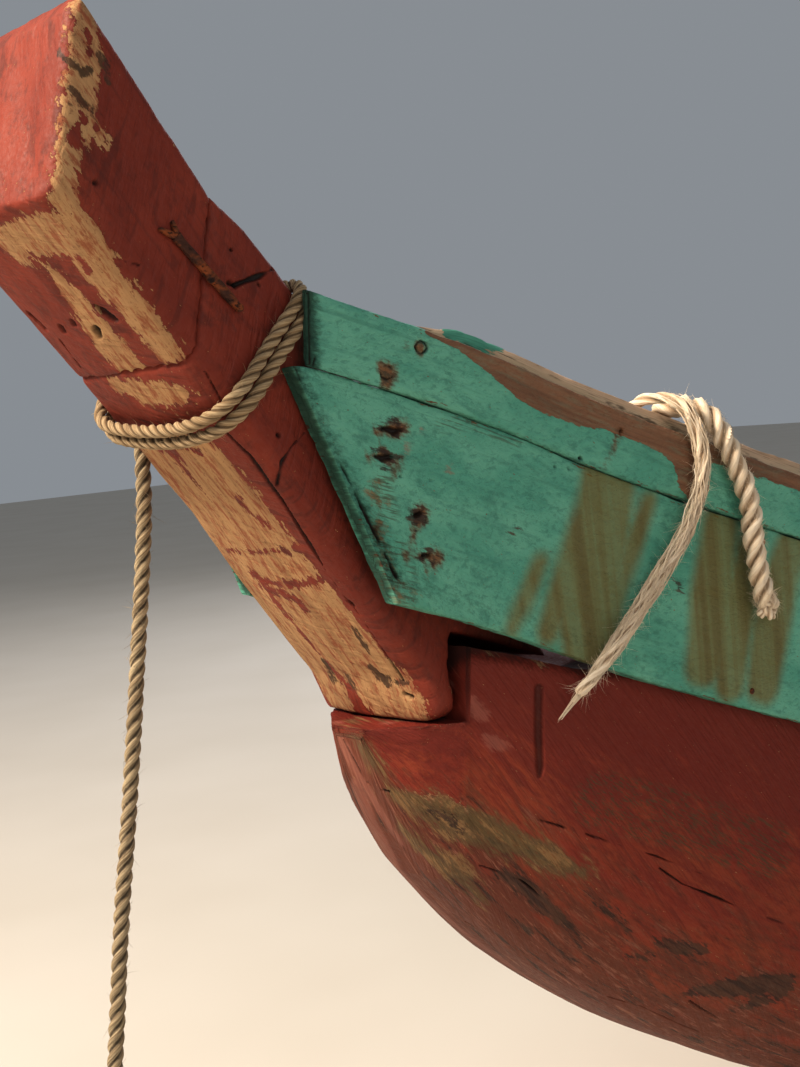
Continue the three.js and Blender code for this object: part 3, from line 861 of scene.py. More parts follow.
    def weathered(self, r: Recipe, colour: bpy.types.NodeSocket, sliver: bpy.types.NodeSocket,
                  chip: bpy.types.NodeSocket,
                  streak: bpy.types.NodeSocket) -> bpy.types.NodeSocket:
        """Lays stains, rust, rubbed places, dirt and painted shade over paint and wood.

        Args:
            r: the finish in the making.
            colour: colour below.
            sliver: noise of the chips.
            chip: noise of small chips.
            streak: noise of long streaks.

        Returns:
            The weathered colour.
        """
        rag = r.ramp(sliver, 0.3, 0.7, -5, 5)
        fine = r.ramp(chip, 0.3, 0.7, -3, 3)
        mottle = r.lumps(46, 30, 6, 14.1, 0.75)
        stain = r.ramp(r.sum(r.worn("stain"), r.ramp(mottle, 0.3, 0.7, -15, 15)), -8, 9, 0, 0.88)
        stained = r.mix(r.ramp(mottle, 0.38, 0.5), "3c3723", "5f4d30")
        stained = r.mix(r.ramp(mottle, 0.52, 0.6, 0, 0.85), stained, "8b6b46")
        stained = r.mix(r.ramp(chip, 0.52, 0.7, 0, 0.5), stained, "6e3a22")
        colour = r.mix(stain, colour, stained)
        pink = r.sum(r.sum(r.worn("pink"), fine), r.times(rag, 0.5))
        colour = r.mix(r.ramp(pink, -4, 3, 0, self.chalk), colour, "a0685a")
        # Rust water runs down, across the grain of the planks, in soft veils
        run = r.lumps(16, 620, 4, 15.2, 0.5)
        veil = r.lumps(46, 240, 2, 19.6, 0.5)
        rust = r.ramp(r.sum(r.worn("rust"), r.ramp(veil, 0.3, 0.7, -3, 3)), -13, 8, 0, 1)
        rust = r.times(rust, r.ramp(run, 0.3, 0.68, 0.66, 0.88))
        rusty = r.mix(r.ramp(run, 0.36, 0.74), "7a6a2e", "66531f")
        colour = r.mix(rust, colour, rusty)
        # Bolts bleed dark orange-brown rust into the paint round them
        bled = r.sum(r.worn("iron"), r.sum(fine, r.ramp(run, 0.3, 0.7, -5, 4)))
        colour = r.mix(r.ramp(bled, -5, 5, 0, 0.92), colour,
                       r.mix(r.ramp(chip, 0.35, 0.65), "7b481d", "482a12"))
        scratch = r.times(r.ramp(r.worn("scratch"), -6, 5),
                          r.ramp(r.lumps(34, 3, 3, 9.9), 0.5, 0.6))
        colour = r.mix(r.times(scratch, 0.6), colour, "3f3f28")
        dark = r.ramp(r.sum(r.sum(r.worn("dark"), rag), fine), -2.5, 2.5, 0, 0.85)
        colour = r.mix(dark, colour, r.mix(r.ramp(streak, 0.4, 0.6), "24150f", "4a3022"))
        # Darker where marked: dirt, and painted shade under the planks, in gaps and in the notch
        dirt_and_shade = r.ramp(r.sum(r.worn("dirt_and_shade"), fine), -9, 5, 0, 0.8)
        colour = r.mix(dirt_and_shade, colour, "33261c", "MULTIPLY")
        # Painted shade: near-black deep in carved cracks, holes and grooves
        return r.mix(r.worn("pit"), colour, "1d1310")


@dataclass(frozen=True)
class LogPaint(PaintedTimber):
    """The same paint on the log, darker maroon near its edge as painted shade on the
    upright side, orange-red on its side, and scuffed dark and brown towards the keel by sand."""

    # painted shade: the darker maroon of the upright side near the edge
    upper: str = "6a1c0f"
    lower: str = "5a2e1d"
    scuff: str = "8c5a48"
    rise: float = 0.4            # its grain's third part, from keel to edge, in m

    def coat(self, r: Recipe, streak: bpy.types.NodeSocket, fibre: bpy.types.NodeSocket,
             score: bpy.types.NodeSocket) -> bpy.types.NodeSocket:
        """Colour of the paint in its three bands.

        Args:
            r: the finish in the making.
            streak: noise of long streaks.
            fibre: noise of fibres.
            score: noise of the adze cuts.

        Returns:
            The colour.
        """
        parts = node(r.tree, "ShaderNodeSeparateXYZ", {"Vector": r.grain})
        mottle = r.lumps(70, 26, 6, 16.4, 0.72)
        level = r.sum(r.times(parts.outputs[2], 1 / self.rise),
                      r.ramp(mottle, 0.25, 0.75, -0.22, 0.22))
        paint = super().coat(r, streak, fibre, score)
        # Painted shade: darker maroon towards the edge
        paint = r.mix(r.ramp(level, 0.5, 0.82, 0, 0.85), paint, self.upper)
        low = r.ramp(level, 0.6, 0.26)
        paint = r.mix(r.times(low, 0.8), paint, self.lower)
        scuffs = r.ramp(r.lumps(60, 12, 6, 17.7, 0.75), 0.53, 0.62, 0, 0.8)
        paint = r.mix(r.times(low, scuffs), paint, self.scuff)
        black = r.ramp(r.lumps(80, 17, 6, 18.9, 0.75), 0.54, 0.63, 0, 0.85)
        return r.mix(r.times(low, black), paint, "2a1a12")


@dataclass(frozen=True)
class BareTimber:
    """Bare wood greyed by sun and salt, silky where hands rub it: open fibres
    along the grain, dark drying cracks, warm brown where it is oiled."""

    name: str
    sunny: str
    warm: str
    grey: str
    deep: str = "4b3526"
    ring_long: float = 420       # growth rings cut along show 14 mm apart
    ring_wide: float = 14
    fibre_long: float = 40       # fibres stand out 1.1 mm apart, real ones 0.3
    fibre_wide: float = 1.1
    rough: float = 0.8

    def material(self) -> bpy.types.Material:
        """The finish: rings, fibres, greyed places, cracks, dirt and painted shade.

        Returns:
            The finished material.
        """
        r = Recipe(self.name)
        ring = r.lumps(self.ring_long, self.ring_wide, 3, 4.4)
        fibre = r.lumps(self.fibre_long, self.fibre_wide, 3, 2.1)
        patch = r.lumps(260, 90, 4, 7.7)
        fine = r.lumps(24, 7, 3, 3.3)
        colour = r.mix(r.ramp(ring, 0.35, 0.68), self.sunny, self.warm)
        colour = r.mix(r.ramp(patch, 0.42, 0.68, 0, 0.7), colour, self.grey)
        colour = r.mix(r.ramp(fibre, 0.52, 0.72, 0, 0.6), colour, self.deep)
        check = r.ramp(r.lumps(150, 3.4, 2, 9.1), 0.70, 0.735)
        colour = r.mix(r.times(check, 0.85), colour, "2a1c14")
        colour = r.mix(r.ramp(fine, 0.6, 0.75, 0, 0.4), colour, self.deep)
        teal = r.ramp(r.sum(r.worn("teal"), r.ramp(fine, 0.3, 0.7, -6, 6)), -0.8, 0.8)
        colour = r.mix(teal, colour, r.mix(r.ramp(fibre, 0.5, 0.7), "4f9480", "37705f"))
        rust = r.ramp(r.sum(r.worn("rust"), r.ramp(ring, 0.3, 0.7, -7, 7)), -8, 8, 0, 0.8)
        colour = r.mix(rust, colour, "5e3a1f")
        # The dark marks here are the painted shadow in the gap between the rail and the plank
        dark = r.ramp(r.sum(r.worn("dark"), r.ramp(fine, 0.3, 0.7, -6, 6)), -4, 4, 0, 0.75)
        colour = r.mix(dark, colour, "3d2a1e")
        # Darker where marked: dirt, and painted shade on the rail's ends
        colour = r.mix(r.ramp(r.worn("dirt_and_shade"), -9, 5, 0, 0.8), colour, "33261c", "MULTIPLY")
        # Painted shade: near-black deep in carved cracks, holes and grooves
        colour = r.mix(r.worn("pit"), colour, "1d1310")
        height = r.sum(r.times(fibre, 0.8), r.times(check, 1.4), "SUBTRACT")
        height = r.sum(height, teal)
        return r.close(colour, r.ramp(patch, 0.3, 0.7, self.rough - 0.08, self.rough + 0.1),
                       height, 0.6)


@dataclass(frozen=True)
class LaidRope:
    """Natural fibre rope of three strands, bleached and hairy: pale dry crests,
    brown and darker in the lay between the strands."""

    name: str
    crest: str
    body: str
    lay: str = "5f4a31"
    yarn: float = 2.0            # yarns show 2 mm apart

    def material(self) -> bpy.types.Material:
        """The finish: yarns, fibres and the darker lay.

        Returns:
            The finished material.
        """
        r = Recipe(self.name)
        yarn = r.lumps(46, self.yarn, 1, 1.3)
        fibre = r.lumps(12, 0.55, 2, 4.1)
        dust = r.lumps(38, 14, 3, 6.8)
        valley = r.worn("valley")
        colour = r.mix(r.ramp(yarn, 0.4, 0.62), self.crest, self.body)
        colour = r.mix(r.ramp(fibre, 0.5, 0.68, 0, 0.55), colour, self.lay)
        colour = r.mix(r.ramp(dust, 0.45, 0.7, 0, 0.45), colour, self.body)
        deep = r.ramp(r.sum(valley, r.ramp(dust, 0.3, 0.7, -0.12, 0.12)), 0.3, 0.95, 0, 0.9)
        colour = r.mix(deep, colour, self.lay)
        height = r.sum(r.times(yarn, 1.0), r.times(fibre, 0.5))
        return r.close(colour, 0.93, height, 0.9, ior=1.53)


@dataclass(frozen=True)
class ForgedIron:
    """Hand-forged iron eaten by salt: scaly dark crust with orange powder in
    its pits, and no bright metal left."""

    name: str
    crust: str = "4a2a1d"
    powder: str = "8c4a24"
    pit: str = "1e1210"

    def material(self) -> bpy.types.Material:
        """The finish: crust, powder and pits.

        Returns:
            The finished material.
        """
        r = Recipe(self.name)
        scale = r.lumps(7, 4, 4, 2.9)
        powder = r.lumps(22, 14, 3, 5.1)
        colour = r.mix(r.ramp(powder, 0.42, 0.62), self.crust, self.powder)
        colour = r.mix(r.ramp(scale, 0.52, 0.7), colour, self.pit)
        return r.close(colour, r.ramp(scale, 0.3, 0.7, 0.7, 0.95), scale, 1.2, metal=0.25)


@dataclass(frozen=True)
class FloorScreed:
    """Pale matt floor screed, trowelled smooth."""

    name: str = "floor_screed"
    colour: str = "cfc8be"

    def material(self) -> bpy.types.Material:
        """The finish: one pale tone with a faint cloud.

        Returns:
            The finished material.
        """
        made = bpy.data.materials.new(self.name)
        made.use_nodes = True
        tree = made.node_tree
        tree.nodes.clear()
        place = node(tree, "ShaderNodeTexCoord")
        cloud = node(tree, "ShaderNodeTexNoise", {"Vector": place.outputs["Object"], "Scale": 1.4})
        tone = node(tree, "ShaderNodeMix", {
            0: cloud.outputs["Fac"], 6: linear(self.colour), 7: linear("c4bcb0")},
            data_type="RGBA")
        shader = node(tree, "ShaderNodeBsdfPrincipled", {
            "Base Color": tone.outputs[2], "Roughness": 0.9})
        node(tree, "ShaderNodeOutputMaterial", {"Surface": shader.outputs[0]})
        return made


# ------------------------------------------------------------------ ropes


def through(points: np.ndarray, step: float) -> np.ndarray:
    """Smooth line through points, with even steps.

    Args:
        points: route in mm.
        step: distance between its new points in mm.

    Returns:
        The line's points.
    """
    p = np.vstack([2 * points[0] - points[1], points, 2 * points[-1] - points[-2]])
    dense = []
    for i in range(1, len(p) - 2):
        a, b, c, d = p[i - 1:i + 3]
        knots = np.cumsum([0, *(np.sqrt(np.linalg.norm(v)) for v in (b - a, c - b, d - c))])
        t = np.linspace(knots[1], knots[2], 24, endpoint=False)[:, None]
        pair = [(knots[k + 1] - t) / (knots[k + 1] - knots[k]) for k in range(3)]
        first = [pair[k] * q + (1 - pair[k]) * n
                 for k, (q, n) in enumerate(((a, b), (b, c), (c, d)))]
        second = [
            (knots[k + 2] - t) / (knots[k + 2] - knots[k]) * first[k]
            + (t - knots[k]) / (knots[k + 2] - knots[k]) * first[k + 1] for k in range(2)]
        dense.append(pair[1] * second[0] + (1 - pair[1]) * second[1])
    line = np.vstack([*dense, points[-1:]])
    run = run_along(line)
    even = np.linspace(0, run[-1], max(2, round(run[-1] / step) + 1))
    return np.stack([np.interp(even, run, line[:, k]) for k in range(3)], 1)


def carried_frames(line: np.ndarray) -> tuple[np.ndarray, np.ndarray, np.ndarray]:
    """Directions along a line and two across it that turn no more than it does.

    Args:
        line: points of the line.

    Returns:
        Direction along, first and second direction across, at each point.
    """
    ahead = np.gradient(line, axis=0)
    ahead /= np.linalg.norm(ahead, axis=1)[:, None]
    start = np.eye(3)[np.argmin(np.abs(ahead[0]))]
    side = np.empty_like(line)
    side[0] = np.cross(ahead[0], start)
    for i in range(1, len(line)):
        side[i] = side[i - 1] - ahead[i] * (side[i - 1] @ ahead[i])
        side[i] /= np.linalg.norm(side[i])
    side[0] /= np.linalg.norm(side[0])
    return ahead, side, np.cross(ahead, side)


def round_about(turns: np.ndarray, side: np.ndarray, up: np.ndarray) -> np.ndarray:
    """Ways out of a line, one ring of them at each of its points.

    Args:
        turns: angles round the line.
        side: first direction across the line, at each point.
        up: second direction across it.

    Returns:
        Unit vectors, ring by ring.
    """
    return (np.cos(turns)[None, :, None] * side[:, None]
            + np.sin(turns)[None, :, None] * up[:, None])


def rope_piece(name: str, surface: Surface, valley: np.ndarray, finish: bpy.types.Material,
               nodes: tuple[str, ...]) -> bpy.types.Object:
    """Turns a rope's or its fibres' surface into a piece.

    Args:
        name: name of the piece.
        surface: its surface.
        valley: how deep each point lies in the lay, 0 to 1.
        finish: its finish.
        nodes: CAD nodes that it stands for.

    Returns:
        The piece.
    """
    mesh = surface.data(name)
    keep_float(mesh, "valley", valley)
    put_grain(mesh, surface.grain, MM)
    return Piece(name, finish, "rope", nodes).place(mesh)


@dataclass
class Rope:
    """Rope of three strands laid up along a route."""

    name: str
    route: np.ndarray
    diameter: float
    step: float = 2.5
    sides: int = 24
    lay: float = 3.3              # one strand's turn, in diameters
    sunk: float = 0.43            # strands' middles from the rope's, in radii
    waste: float = 0.05           # unevenness, as a share of the radius
    turn: float = 0.0             # angle that the strands start at
    seed: int = 1
    line: np.ndarray = field(init=False)
    length: float = field(init=False)

    def __post_init__(self) -> None:
        """Finds the rope's line and length."""
        self.line = through(np.asarray(self.route, float), self.step)
        self.length = float(np.linalg.norm(np.diff(self.line, axis=0), axis=1).sum())

    def skin(self) -> tuple[Surface, np.ndarray]:
        """The rope's surface.

        Returns:
            The surface, and how deep each point lies in the lay, 0 to 1.
        """
        _, side, up = carried_frames(self.line)
        rows = len(self.line)
        run = np.linspace(0, self.length, rows)
        theta = np.linspace(0, 2 * math.pi, self.sides, endpoint=False)
        spin = self.turn + 2 * math.pi * run / (self.lay * self.diameter)
        local = theta[None] - spin[:, None]
        within = (local + math.pi / 3) % (2 * math.pi / 3) - math.pi / 3
        centre = self.sunk
        strand = 1 - centre
        reach = centre * np.cos(within) + np.sqrt(
            np.maximum(strand ** 2 - (centre * np.sin(within)) ** 2, 0.002))
        radius = self.diameter / 2
        at = np.stack([
            run[:, None] + 0 * local, radius * 3 * np.cos(local), radius * 3 * np.sin(local)], -1)
        uneven = noise(at.reshape(-1, 3), (30, 9, 9), self.seed).reshape(rows, -1)
        taper = np.clip(np.minimum(run, run[-1] - run) / (0.45 * self.diameter), 0.0, 1)
        taper = np.sqrt(np.clip(taper * (2 - taper), 0.05, 1))
        size = radius * reach * (1 + self.waste * uneven) * taper[:, None]
        rings = self.line[:, None] + size[..., None] * round_about(theta, side, up)
        strand_no = np.floor((local + math.pi / 3) / (2 * math.pi / 3)) % 3
        grain = np.stack([
            run[:, None] + 0 * local, within * radius * 1.2 + 6 * strand_no,
            strand_no * 40 + self.seed * 17 + 0 * local], -1)
        return loft(rings, grain), np.clip((0.99 - reach) / 0.30, 0, 1).ravel()

    def made(self, finish: bpy.types.Material, nodes: tuple[str, ...]) -> bpy.types.Object:
        """Builds the rope.

        Args:
            finish: its finish.
            nodes: CAD nodes that it stands for.

        Returns:
            The rope's object.
        """
        surface, valley = self.skin()
        return rope_piece(self.name, surface, valley, finish, nodes)


LOWEST, FOREMOST = 0.4, 3798.0    # fibres stay above the ground and inside the boat's length


@dataclass
class Fibres:
    """Loose fibres or yarns: thin tapered threads that stand off a rope."""

    name: str
    thick: float = 0.35
    rows: int = 5
    sides: int = 3
    threads: list = field(default_factory=list)

    def off(self, rope: Rope, count: int, long: tuple[float, float], lift: float, seed: int,
            part: tuple[float, float] = (0.0, 1.0)) -> "Fibres":
        """Adds short fibres that stand off a rope's crests.

        Args:
            rope: rope that they come out of.
            count: how many.
            long: shortest and longest in mm.
            lift: how far they stand up, 0 flat to 1 straight out.
            seed: picks one of many patterns.
            part: stretch of the rope, as shares of its length.

        Returns:
            These fibres.
        """
        rng = np.random.default_rng(seed)
        ahead, side, up = carried_frames(rope.line)
        for _ in range(count):
            i = int(rng.uniform(*part) * (len(rope.line) - 1))
            a = rng.uniform(0, 2 * math.pi)
            out = math.cos(a) * side[i] + math.sin(a) * up[i]
            across = np.cross(ahead[i], out)
            way = ahead[i] * rng.choice((-1, 1)) * 0.8 + across * rng.normal(0, 0.7)
            way += out * lift * rng.uniform(0.3, 1.2)
            way /= np.linalg.norm(way)
            size = rng.uniform(*long)
            start = rope.line[i] + out * rope.diameter * 0.43
            bend = out * rng.normal(0.1, 0.5) + across * rng.normal(0, 0.6)
            bend[2] -= 0.25
            t = np.linspace(0, 1, self.rows)[:, None]
            self.threads.append((start + way * size * t + bend * size * 0.5 * t * t,
                                 self.thick * rng.uniform(0.6, 1.3)))
        return self

    def unlaid(self, rope: Rope, count: int, seed: int) -> "Fibres":
        """Adds yarns that have come out of a rope's lay and run down its end.

        Args:
            rope: rope that they come out of.
            count: how many.
            seed: picks one of many patterns.

        Returns:
            These yarns.
        """
        rng = np.random.default_rng(seed)
        ahead, side, up = carried_frames(rope.line)
        run = np.linspace(0, rope.length, len(rope.line))
        t = np.linspace(0, 1, self.rows)
        for _ in range(count):
            size = rng.uniform(70, 190)
            start = rope.length * (1 - 0.62 * rng.uniform(0, 1) ** 1.1) - 0.4 * size
            at = np.minimum(start + size * t, rope.length + rng.uniform(4, 40))
            past = np.maximum(at - rope.length, 0)[:, None]
            inner = np.minimum(at, rope.length)
            line, a1, a2, way = (np.stack([np.interp(inner, run, v[:, k]) for k in range(3)], 1)
                                 for v in (rope.line, side, up, ahead))
            angle = (rng.uniform(0, 2 * math.pi) + rng.normal(0, 0.7) * t
                     + 0.3 * np.sin(t * rng.uniform(6, 16) + rng.uniform(0, 6)))
            off = (6.4 + 3.2 * rng.uniform()
                   + 1.3 * np.sin(t * rng.uniform(8, 20) + rng.uniform(0, 6)))
            off = off + 4.5 * np.clip(t - 0.7, 0, 1) / 0.3 * rng.uniform() ** 2
            off = off * np.clip((rope.length + 40 - at) / 110, 0.15, 1)
            out = np.cos(angle)[:, None] * a1 + np.sin(angle)[:, None] * a2
            self.threads.append((line + way * past + out * off[:, None],
                                 self.thick * rng.uniform(0.5, 1.3)))
        return self

    def made(self, finish: bpy.types.Material, nodes: tuple[str, ...] = ()) -> bpy.types.Object:
        """Builds all threads as one piece.

        Args:
            finish: their finish.
            nodes: CAD nodes that they stand for.

        Returns:
            The piece.
        """
        parts = []
        turns = np.linspace(0, 2 * math.pi, self.sides, endpoint=False)
        for number, (line, thick) in enumerate(self.threads):
            _, side, up = carried_frames(line)
            t = np.linspace(0, 1, len(line))
            size = thick / 2 * np.clip(1.15 - t ** 2, 0.12, 1)
            skin = line[:, None] + size[:, None, None] * round_about(turns, side, up)
            skin[..., 2] = np.maximum(skin[..., 2], LOWEST)
            skin[..., 0] = np.minimum(skin[..., 0], FOREMOST)
            run = np.linspace(0, 40, len(line))[:, None] + 0 * turns[None]
            parts.append(loft(skin, np.stack(
                [run, turns * thick + 0 * run, 7.0 * number + 0 * run], -1)))
        surface = joined(parts)
        tint = hashed(np.stack([(surface.grain[:, 2] * 10).astype(np.int64)] * 3, 1), 3)
        return rope_piece(self.name, surface, tint * 0.55, finish, nodes)


def knot_line(centre: Point, size: float, tilt: float) -> np.ndarray:
    """Route of an overhand knot pulled tight.

    Args:
        centre: its middle in mm.
        size: half its width in mm, to the rope's middle.
        tilt: turn about the Y axis in degrees.

    Returns:
        Points of the route.
    """
    t = np.linspace(0.25, 2 * math.pi + 0.05, 26)
    p = np.stack([(2 + np.cos(3 * t)) * np.cos(2 * t), np.sin(3 * t) * 1.15,
                  (2 + np.cos(3 * t)) * np.sin(2 * t)], 1) / 3 * size
    turn = np.array(Matrix.Rotation(math.radians(tilt), 3, "Y"))
    return p @ turn.T + np.array(centre)


# ------------------------------------------------------------------ hull


@dataclass
class Dugout:
    """The hull: one log hewn hollow, with solid ends and a notch at each end
    that the prow and stern beams hang into."""

    finish: bpy.types.Material
    wall_edge: float = 36
    wall_bilge: float = 42
    wall_bottom: float = 52
    bilge_rise: float = 12
    cavity_full: float = 2840
    cavity_end: float = 2960
    body_end: float = 3205
    outer_steps: int = 66
    flat_steps: int = 8
    edge_steps: int = 4
    inner_steps: int = 26

    @staticmethod
    def spread(half: np.ndarray, count: int, total: np.ndarray | None = None) -> np.ndarray:
        """Half sections with evenly spaced points.

        Args:
            half: sections, each a row of points y, z from the keel up.
            count: how many points each gets.
            total: way that the points are spaced over, if a section is shorter.

        Returns:
            The new sections.
        """
        made = np.empty((len(half), count, 2))
        for i, (section, at) in enumerate(zip(half, run_along(half))):
            even = np.linspace(0, at[-1] if total is None else total[i], count)
            made[i, :, 0] = np.interp(even, at, section[:, 0])
            made[i, :, 1] = np.interp(even, at, section[:, 1])
        return made

    def bilge(self, row: dict[str, np.ndarray], edge: np.ndarray) -> np.ndarray:
        """Half sections from the keel flat round the bilge to the edge.

        Args:
            row: keel height, foot, bilge y and z, and swell of the side.
            edge: y and z of the edge, one row a section.

        Returns:
            Points of each section.
        """
        turn = np.linspace(0, math.pi / 2, 22)
        y = row["foot"][:, None] + (row["y"] - row["foot"])[:, None] * np.sin(turn)
        z = row["z"][:, None] - (row["z"] - row["keel"])[:, None] * np.cos(turn)
        t = np.linspace(0, 1, 9)[1:]
        bow = 4 * t * (1 - t)
        swell = np.reshape(row["swell"], (-1, 1)) * bow
        side_y = row["y"][:, None] * (1 - t) + edge[:, :1] * t + swell
        side_z = row["z"][:, None] * (1 - t) + edge[:, 1:] * t
        return np.stack([np.hstack([y, side_y]), np.hstack([z, side_z])], -1)

    def outer(self, x: np.ndarray) -> np.ndarray:
        """Outer half sections of the body.

        Args:
            x: places along the hull.

        Returns:
            Points y, z of each section.
        """
        row = {name: between(BOTTOM, i + 1, x) for i, name in enumerate(("keel", "foot", "y", "z"))}
        row["swell"] = 4 * np.clip((self.body_end - np.abs(x)) / 150, 0, 1)
        return self.bilge(row, np.stack([edge_y(x), edge_z(x)], 1))

    def nose(self, s: np.ndarray) -> np.ndarray:
        """Outer half sections of the nose ahead of the notch.

        Args:
            s: distances from amidships.

        Returns:
            Points y, z of each section.
        """
        names = ("keel", "foot", "y", "z", "top")
        row = {name: np.interp(s, NOSE[:, 0], NOSE[:, i + 1]) for i, name in enumerate(names)}
        row["swell"] = 0.0
        return self.bilge(row, np.stack([row["top"], np.full(len(s), NOSE_TOP)], 1))

    def inner(self, x: np.ndarray) -> np.ndarray:
        """Half sections of the hollow up to the dugout's edge.

        Args:
            x: places along the hull, no further out than the hollow's end.

        Returns:
            Points y, z of each section.
        """
        full = np.minimum(np.abs(x), self.cavity_full)
        row = {name: between(BOTTOM, column, full)
               for column, name in enumerate(("keel", "foot", "y", "z"), 1)}
        row["keel"] = row["keel"] + self.wall_bottom
        row["foot"] = row["foot"] * 0.8
        row["y"] = row["y"] - self.wall_bilge
        row["z"] = row["z"] + self.bilge_rise
        top, side = edge_z(full), edge_y(full) - self.wall_edge
        share = (top - row["z"]) / (top + 60 - row["z"])
        edge = np.stack([row["y"] * (1 - share) + side * share, top], 1)
        end = np.full_like(full, self.cavity_end)
        z, y = edge_z(end), edge_y(end)
        shut = {"keel": z - 90, "foot": np.full_like(z, 40), "y": y - 70, "z": z - 50}
        shut_edge = np.stack([y - 65.5, z], 1)
        t = np.clip((np.abs(x) - self.cavity_full) / (self.cavity_end - self.cavity_full), 0, 1)
        blend = {k: row[k] * (1 - t) + shut[k] * t for k in row}
        blend["swell"] = 0.0
        return self.bilge(blend, edge * (1 - t[:, None]) + shut_edge * t[:, None])

    def lengths(self, x: np.ndarray, half: np.ndarray) -> np.ndarray:
        """Ways round each half section; just ahead of the notch they are the
        body's, so that the net runs on without a kink.

        Args:
            x: places along the hull.
            half: outer half sections there.

        Returns:
            Lengths in mm.
        """
        own = run_along(half)[:, -1]
        if np.abs(x).max() <= self.body_end:
            return own
        body = run_along(self.outer(np.array([self.body_end])))[0, -1]
        t = np.clip((np.abs(x) - NOSE[0, 0]) / (NOSE[-1, 0] - NOSE[0, 0]), 0, 1)
        return own * (1 + (body / own[np.argmin(np.abs(x))] - 1) * (1 - t) ** 2)

    def rings(self, x: np.ndarray, half: np.ndarray, hollow: bool) -> np.ndarray:
        """Closed sections from outer half sections and the hollow or flat top.

        Args:
            x: places along the hull.
            half: outer half sections there.
            hollow: cuts the hollow, otherwise the top is flat.

        Returns:
            Closed rings of points x, y, z.
        """
        outer = self.spread(half, self.outer_steps, self.lengths(x, half))
        port = outer[:, ::-1]
        star = outer * np.array([-1, 1])
        t = np.linspace(0, 1, self.flat_steps + 2)[1:-1][None, :, None]
        flat = port[:, -1:] * (1 - t) + star[:, :1] * t
        lip = outer[:, -1:]
        if hollow:
            inside = self.spread(self.inner(x), self.inner_steps)
        else:
            share = np.linspace(0, 1, self.inner_steps)[None, :, None]
            width = lip * np.array([0.7, 1])
            inside = width * share + width * np.array([0, 1]) * (1 - share)
            # The hewer left a low dam at the end of the hollow
            inside[:, :, 1] += (16 * np.clip((3048 - np.abs(x)) / 35, 0, 1))[:, None]
        rim = inside[:, -1:]
        e = np.linspace(0, 1, self.edge_steps + 2)[1:-1][None, :, None]
        mirror = np.array([-1, 1])
        top_star = (lip * (1 - e) + rim * e) * mirror
        top_port = rim * (1 - e) + lip * e
        parts = [port, flat, star, top_star, (inside * mirror)[:, ::-1], inside, top_port]
        ring = np.concatenate(parts, 1)
        return np.concatenate([np.broadcast_to(x[:, None, None], (*ring.shape[:2], 1)), ring], 2)

    def skin(self) -> Surface:
        """The log's whole surface.

        Returns:
            The surface with its grain.
        """
        end, gap = self.cavity_end, 0.6
        fine = np.arange(2600, self.body_end, 7.5)
        middle = np.arange(1500, 2600, 24)
        aft = -np.arange(0, self.body_end, 48)[1:]
        body = np.unique(np.concatenate(
            [fine, middle, np.arange(0, 1500, 46), aft, [self.body_end, -self.body_end]]))[::-1]
        body = body[np.abs(np.abs(body) - end) > 4]
        closed_x = np.append(body[np.abs(body) > end], [end + gap, -end - gap])
        open_x = np.append(body[np.abs(body) < end], [end, -end])
        nose = np.append(np.arange(NOSE[0, 0], NOSE[-1, 0], 6.0), NOSE[-1, 0])
        parts = [
            (closed_x, self.rings(closed_x, self.outer(closed_x), False)),
            (open_x, self.rings(open_x, self.outer(open_x), True)),
            (nose, self.rings(nose, self.nose(nose), False)),
            (-nose, self.rings(-nose, self.nose(nose), False))]
        place = np.concatenate([p[0] for p in parts])
        rings = np.concatenate([p[1] for p in parts])[np.argsort(-place, kind="stable")]
        count = rings.shape[1]
        keel = self.outer_steps + self.flat_steps // 2
        run = run_along(rings[:, :, 1:])
        around = run - run[:, keel:keel + 1]
        level = np.clip(np.abs(np.arange(count) - keel) / (keel - 1), 0, 1)
        grain = np.stack([
            rings[:, :, 0], around, np.broadcast_to(400 * level, rings.shape[:2])], -1)
        return loft(rings, grain)

    def build(self, marks: list[Mark]) -> None:
        """Builds the log as one piece.

        Args:
            marks: wear on it.
        """
        mesh = self.skin().data("hull_log")
        tidied(mesh)
        worked(mesh, marks, Hewing(2.2, 210, 95, 0.7, 60, 20, 1.6, 11))
        nodes = tuple(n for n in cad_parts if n.startswith("hull_"))
        Piece("hull_log", self.finish, "red_paint", nodes).place(mesh)


def stations(end: float) -> np.ndarray:
    """Places along a plank, 7 mm apart at the bow.

    Args:
        end: distance of its ends from amidships.

    Returns:
        Distances along X from stern to bow.
    """
    bow = np.arange(end, 2640, -7.0)
    middle = np.linspace(2640, 1500, 46)
    rest = np.linspace(1500, -2600, 84)
    stern = np.linspace(-2600, -end, 44)
    return np.unique(np.concatenate([bow, middle, rest, stern]))


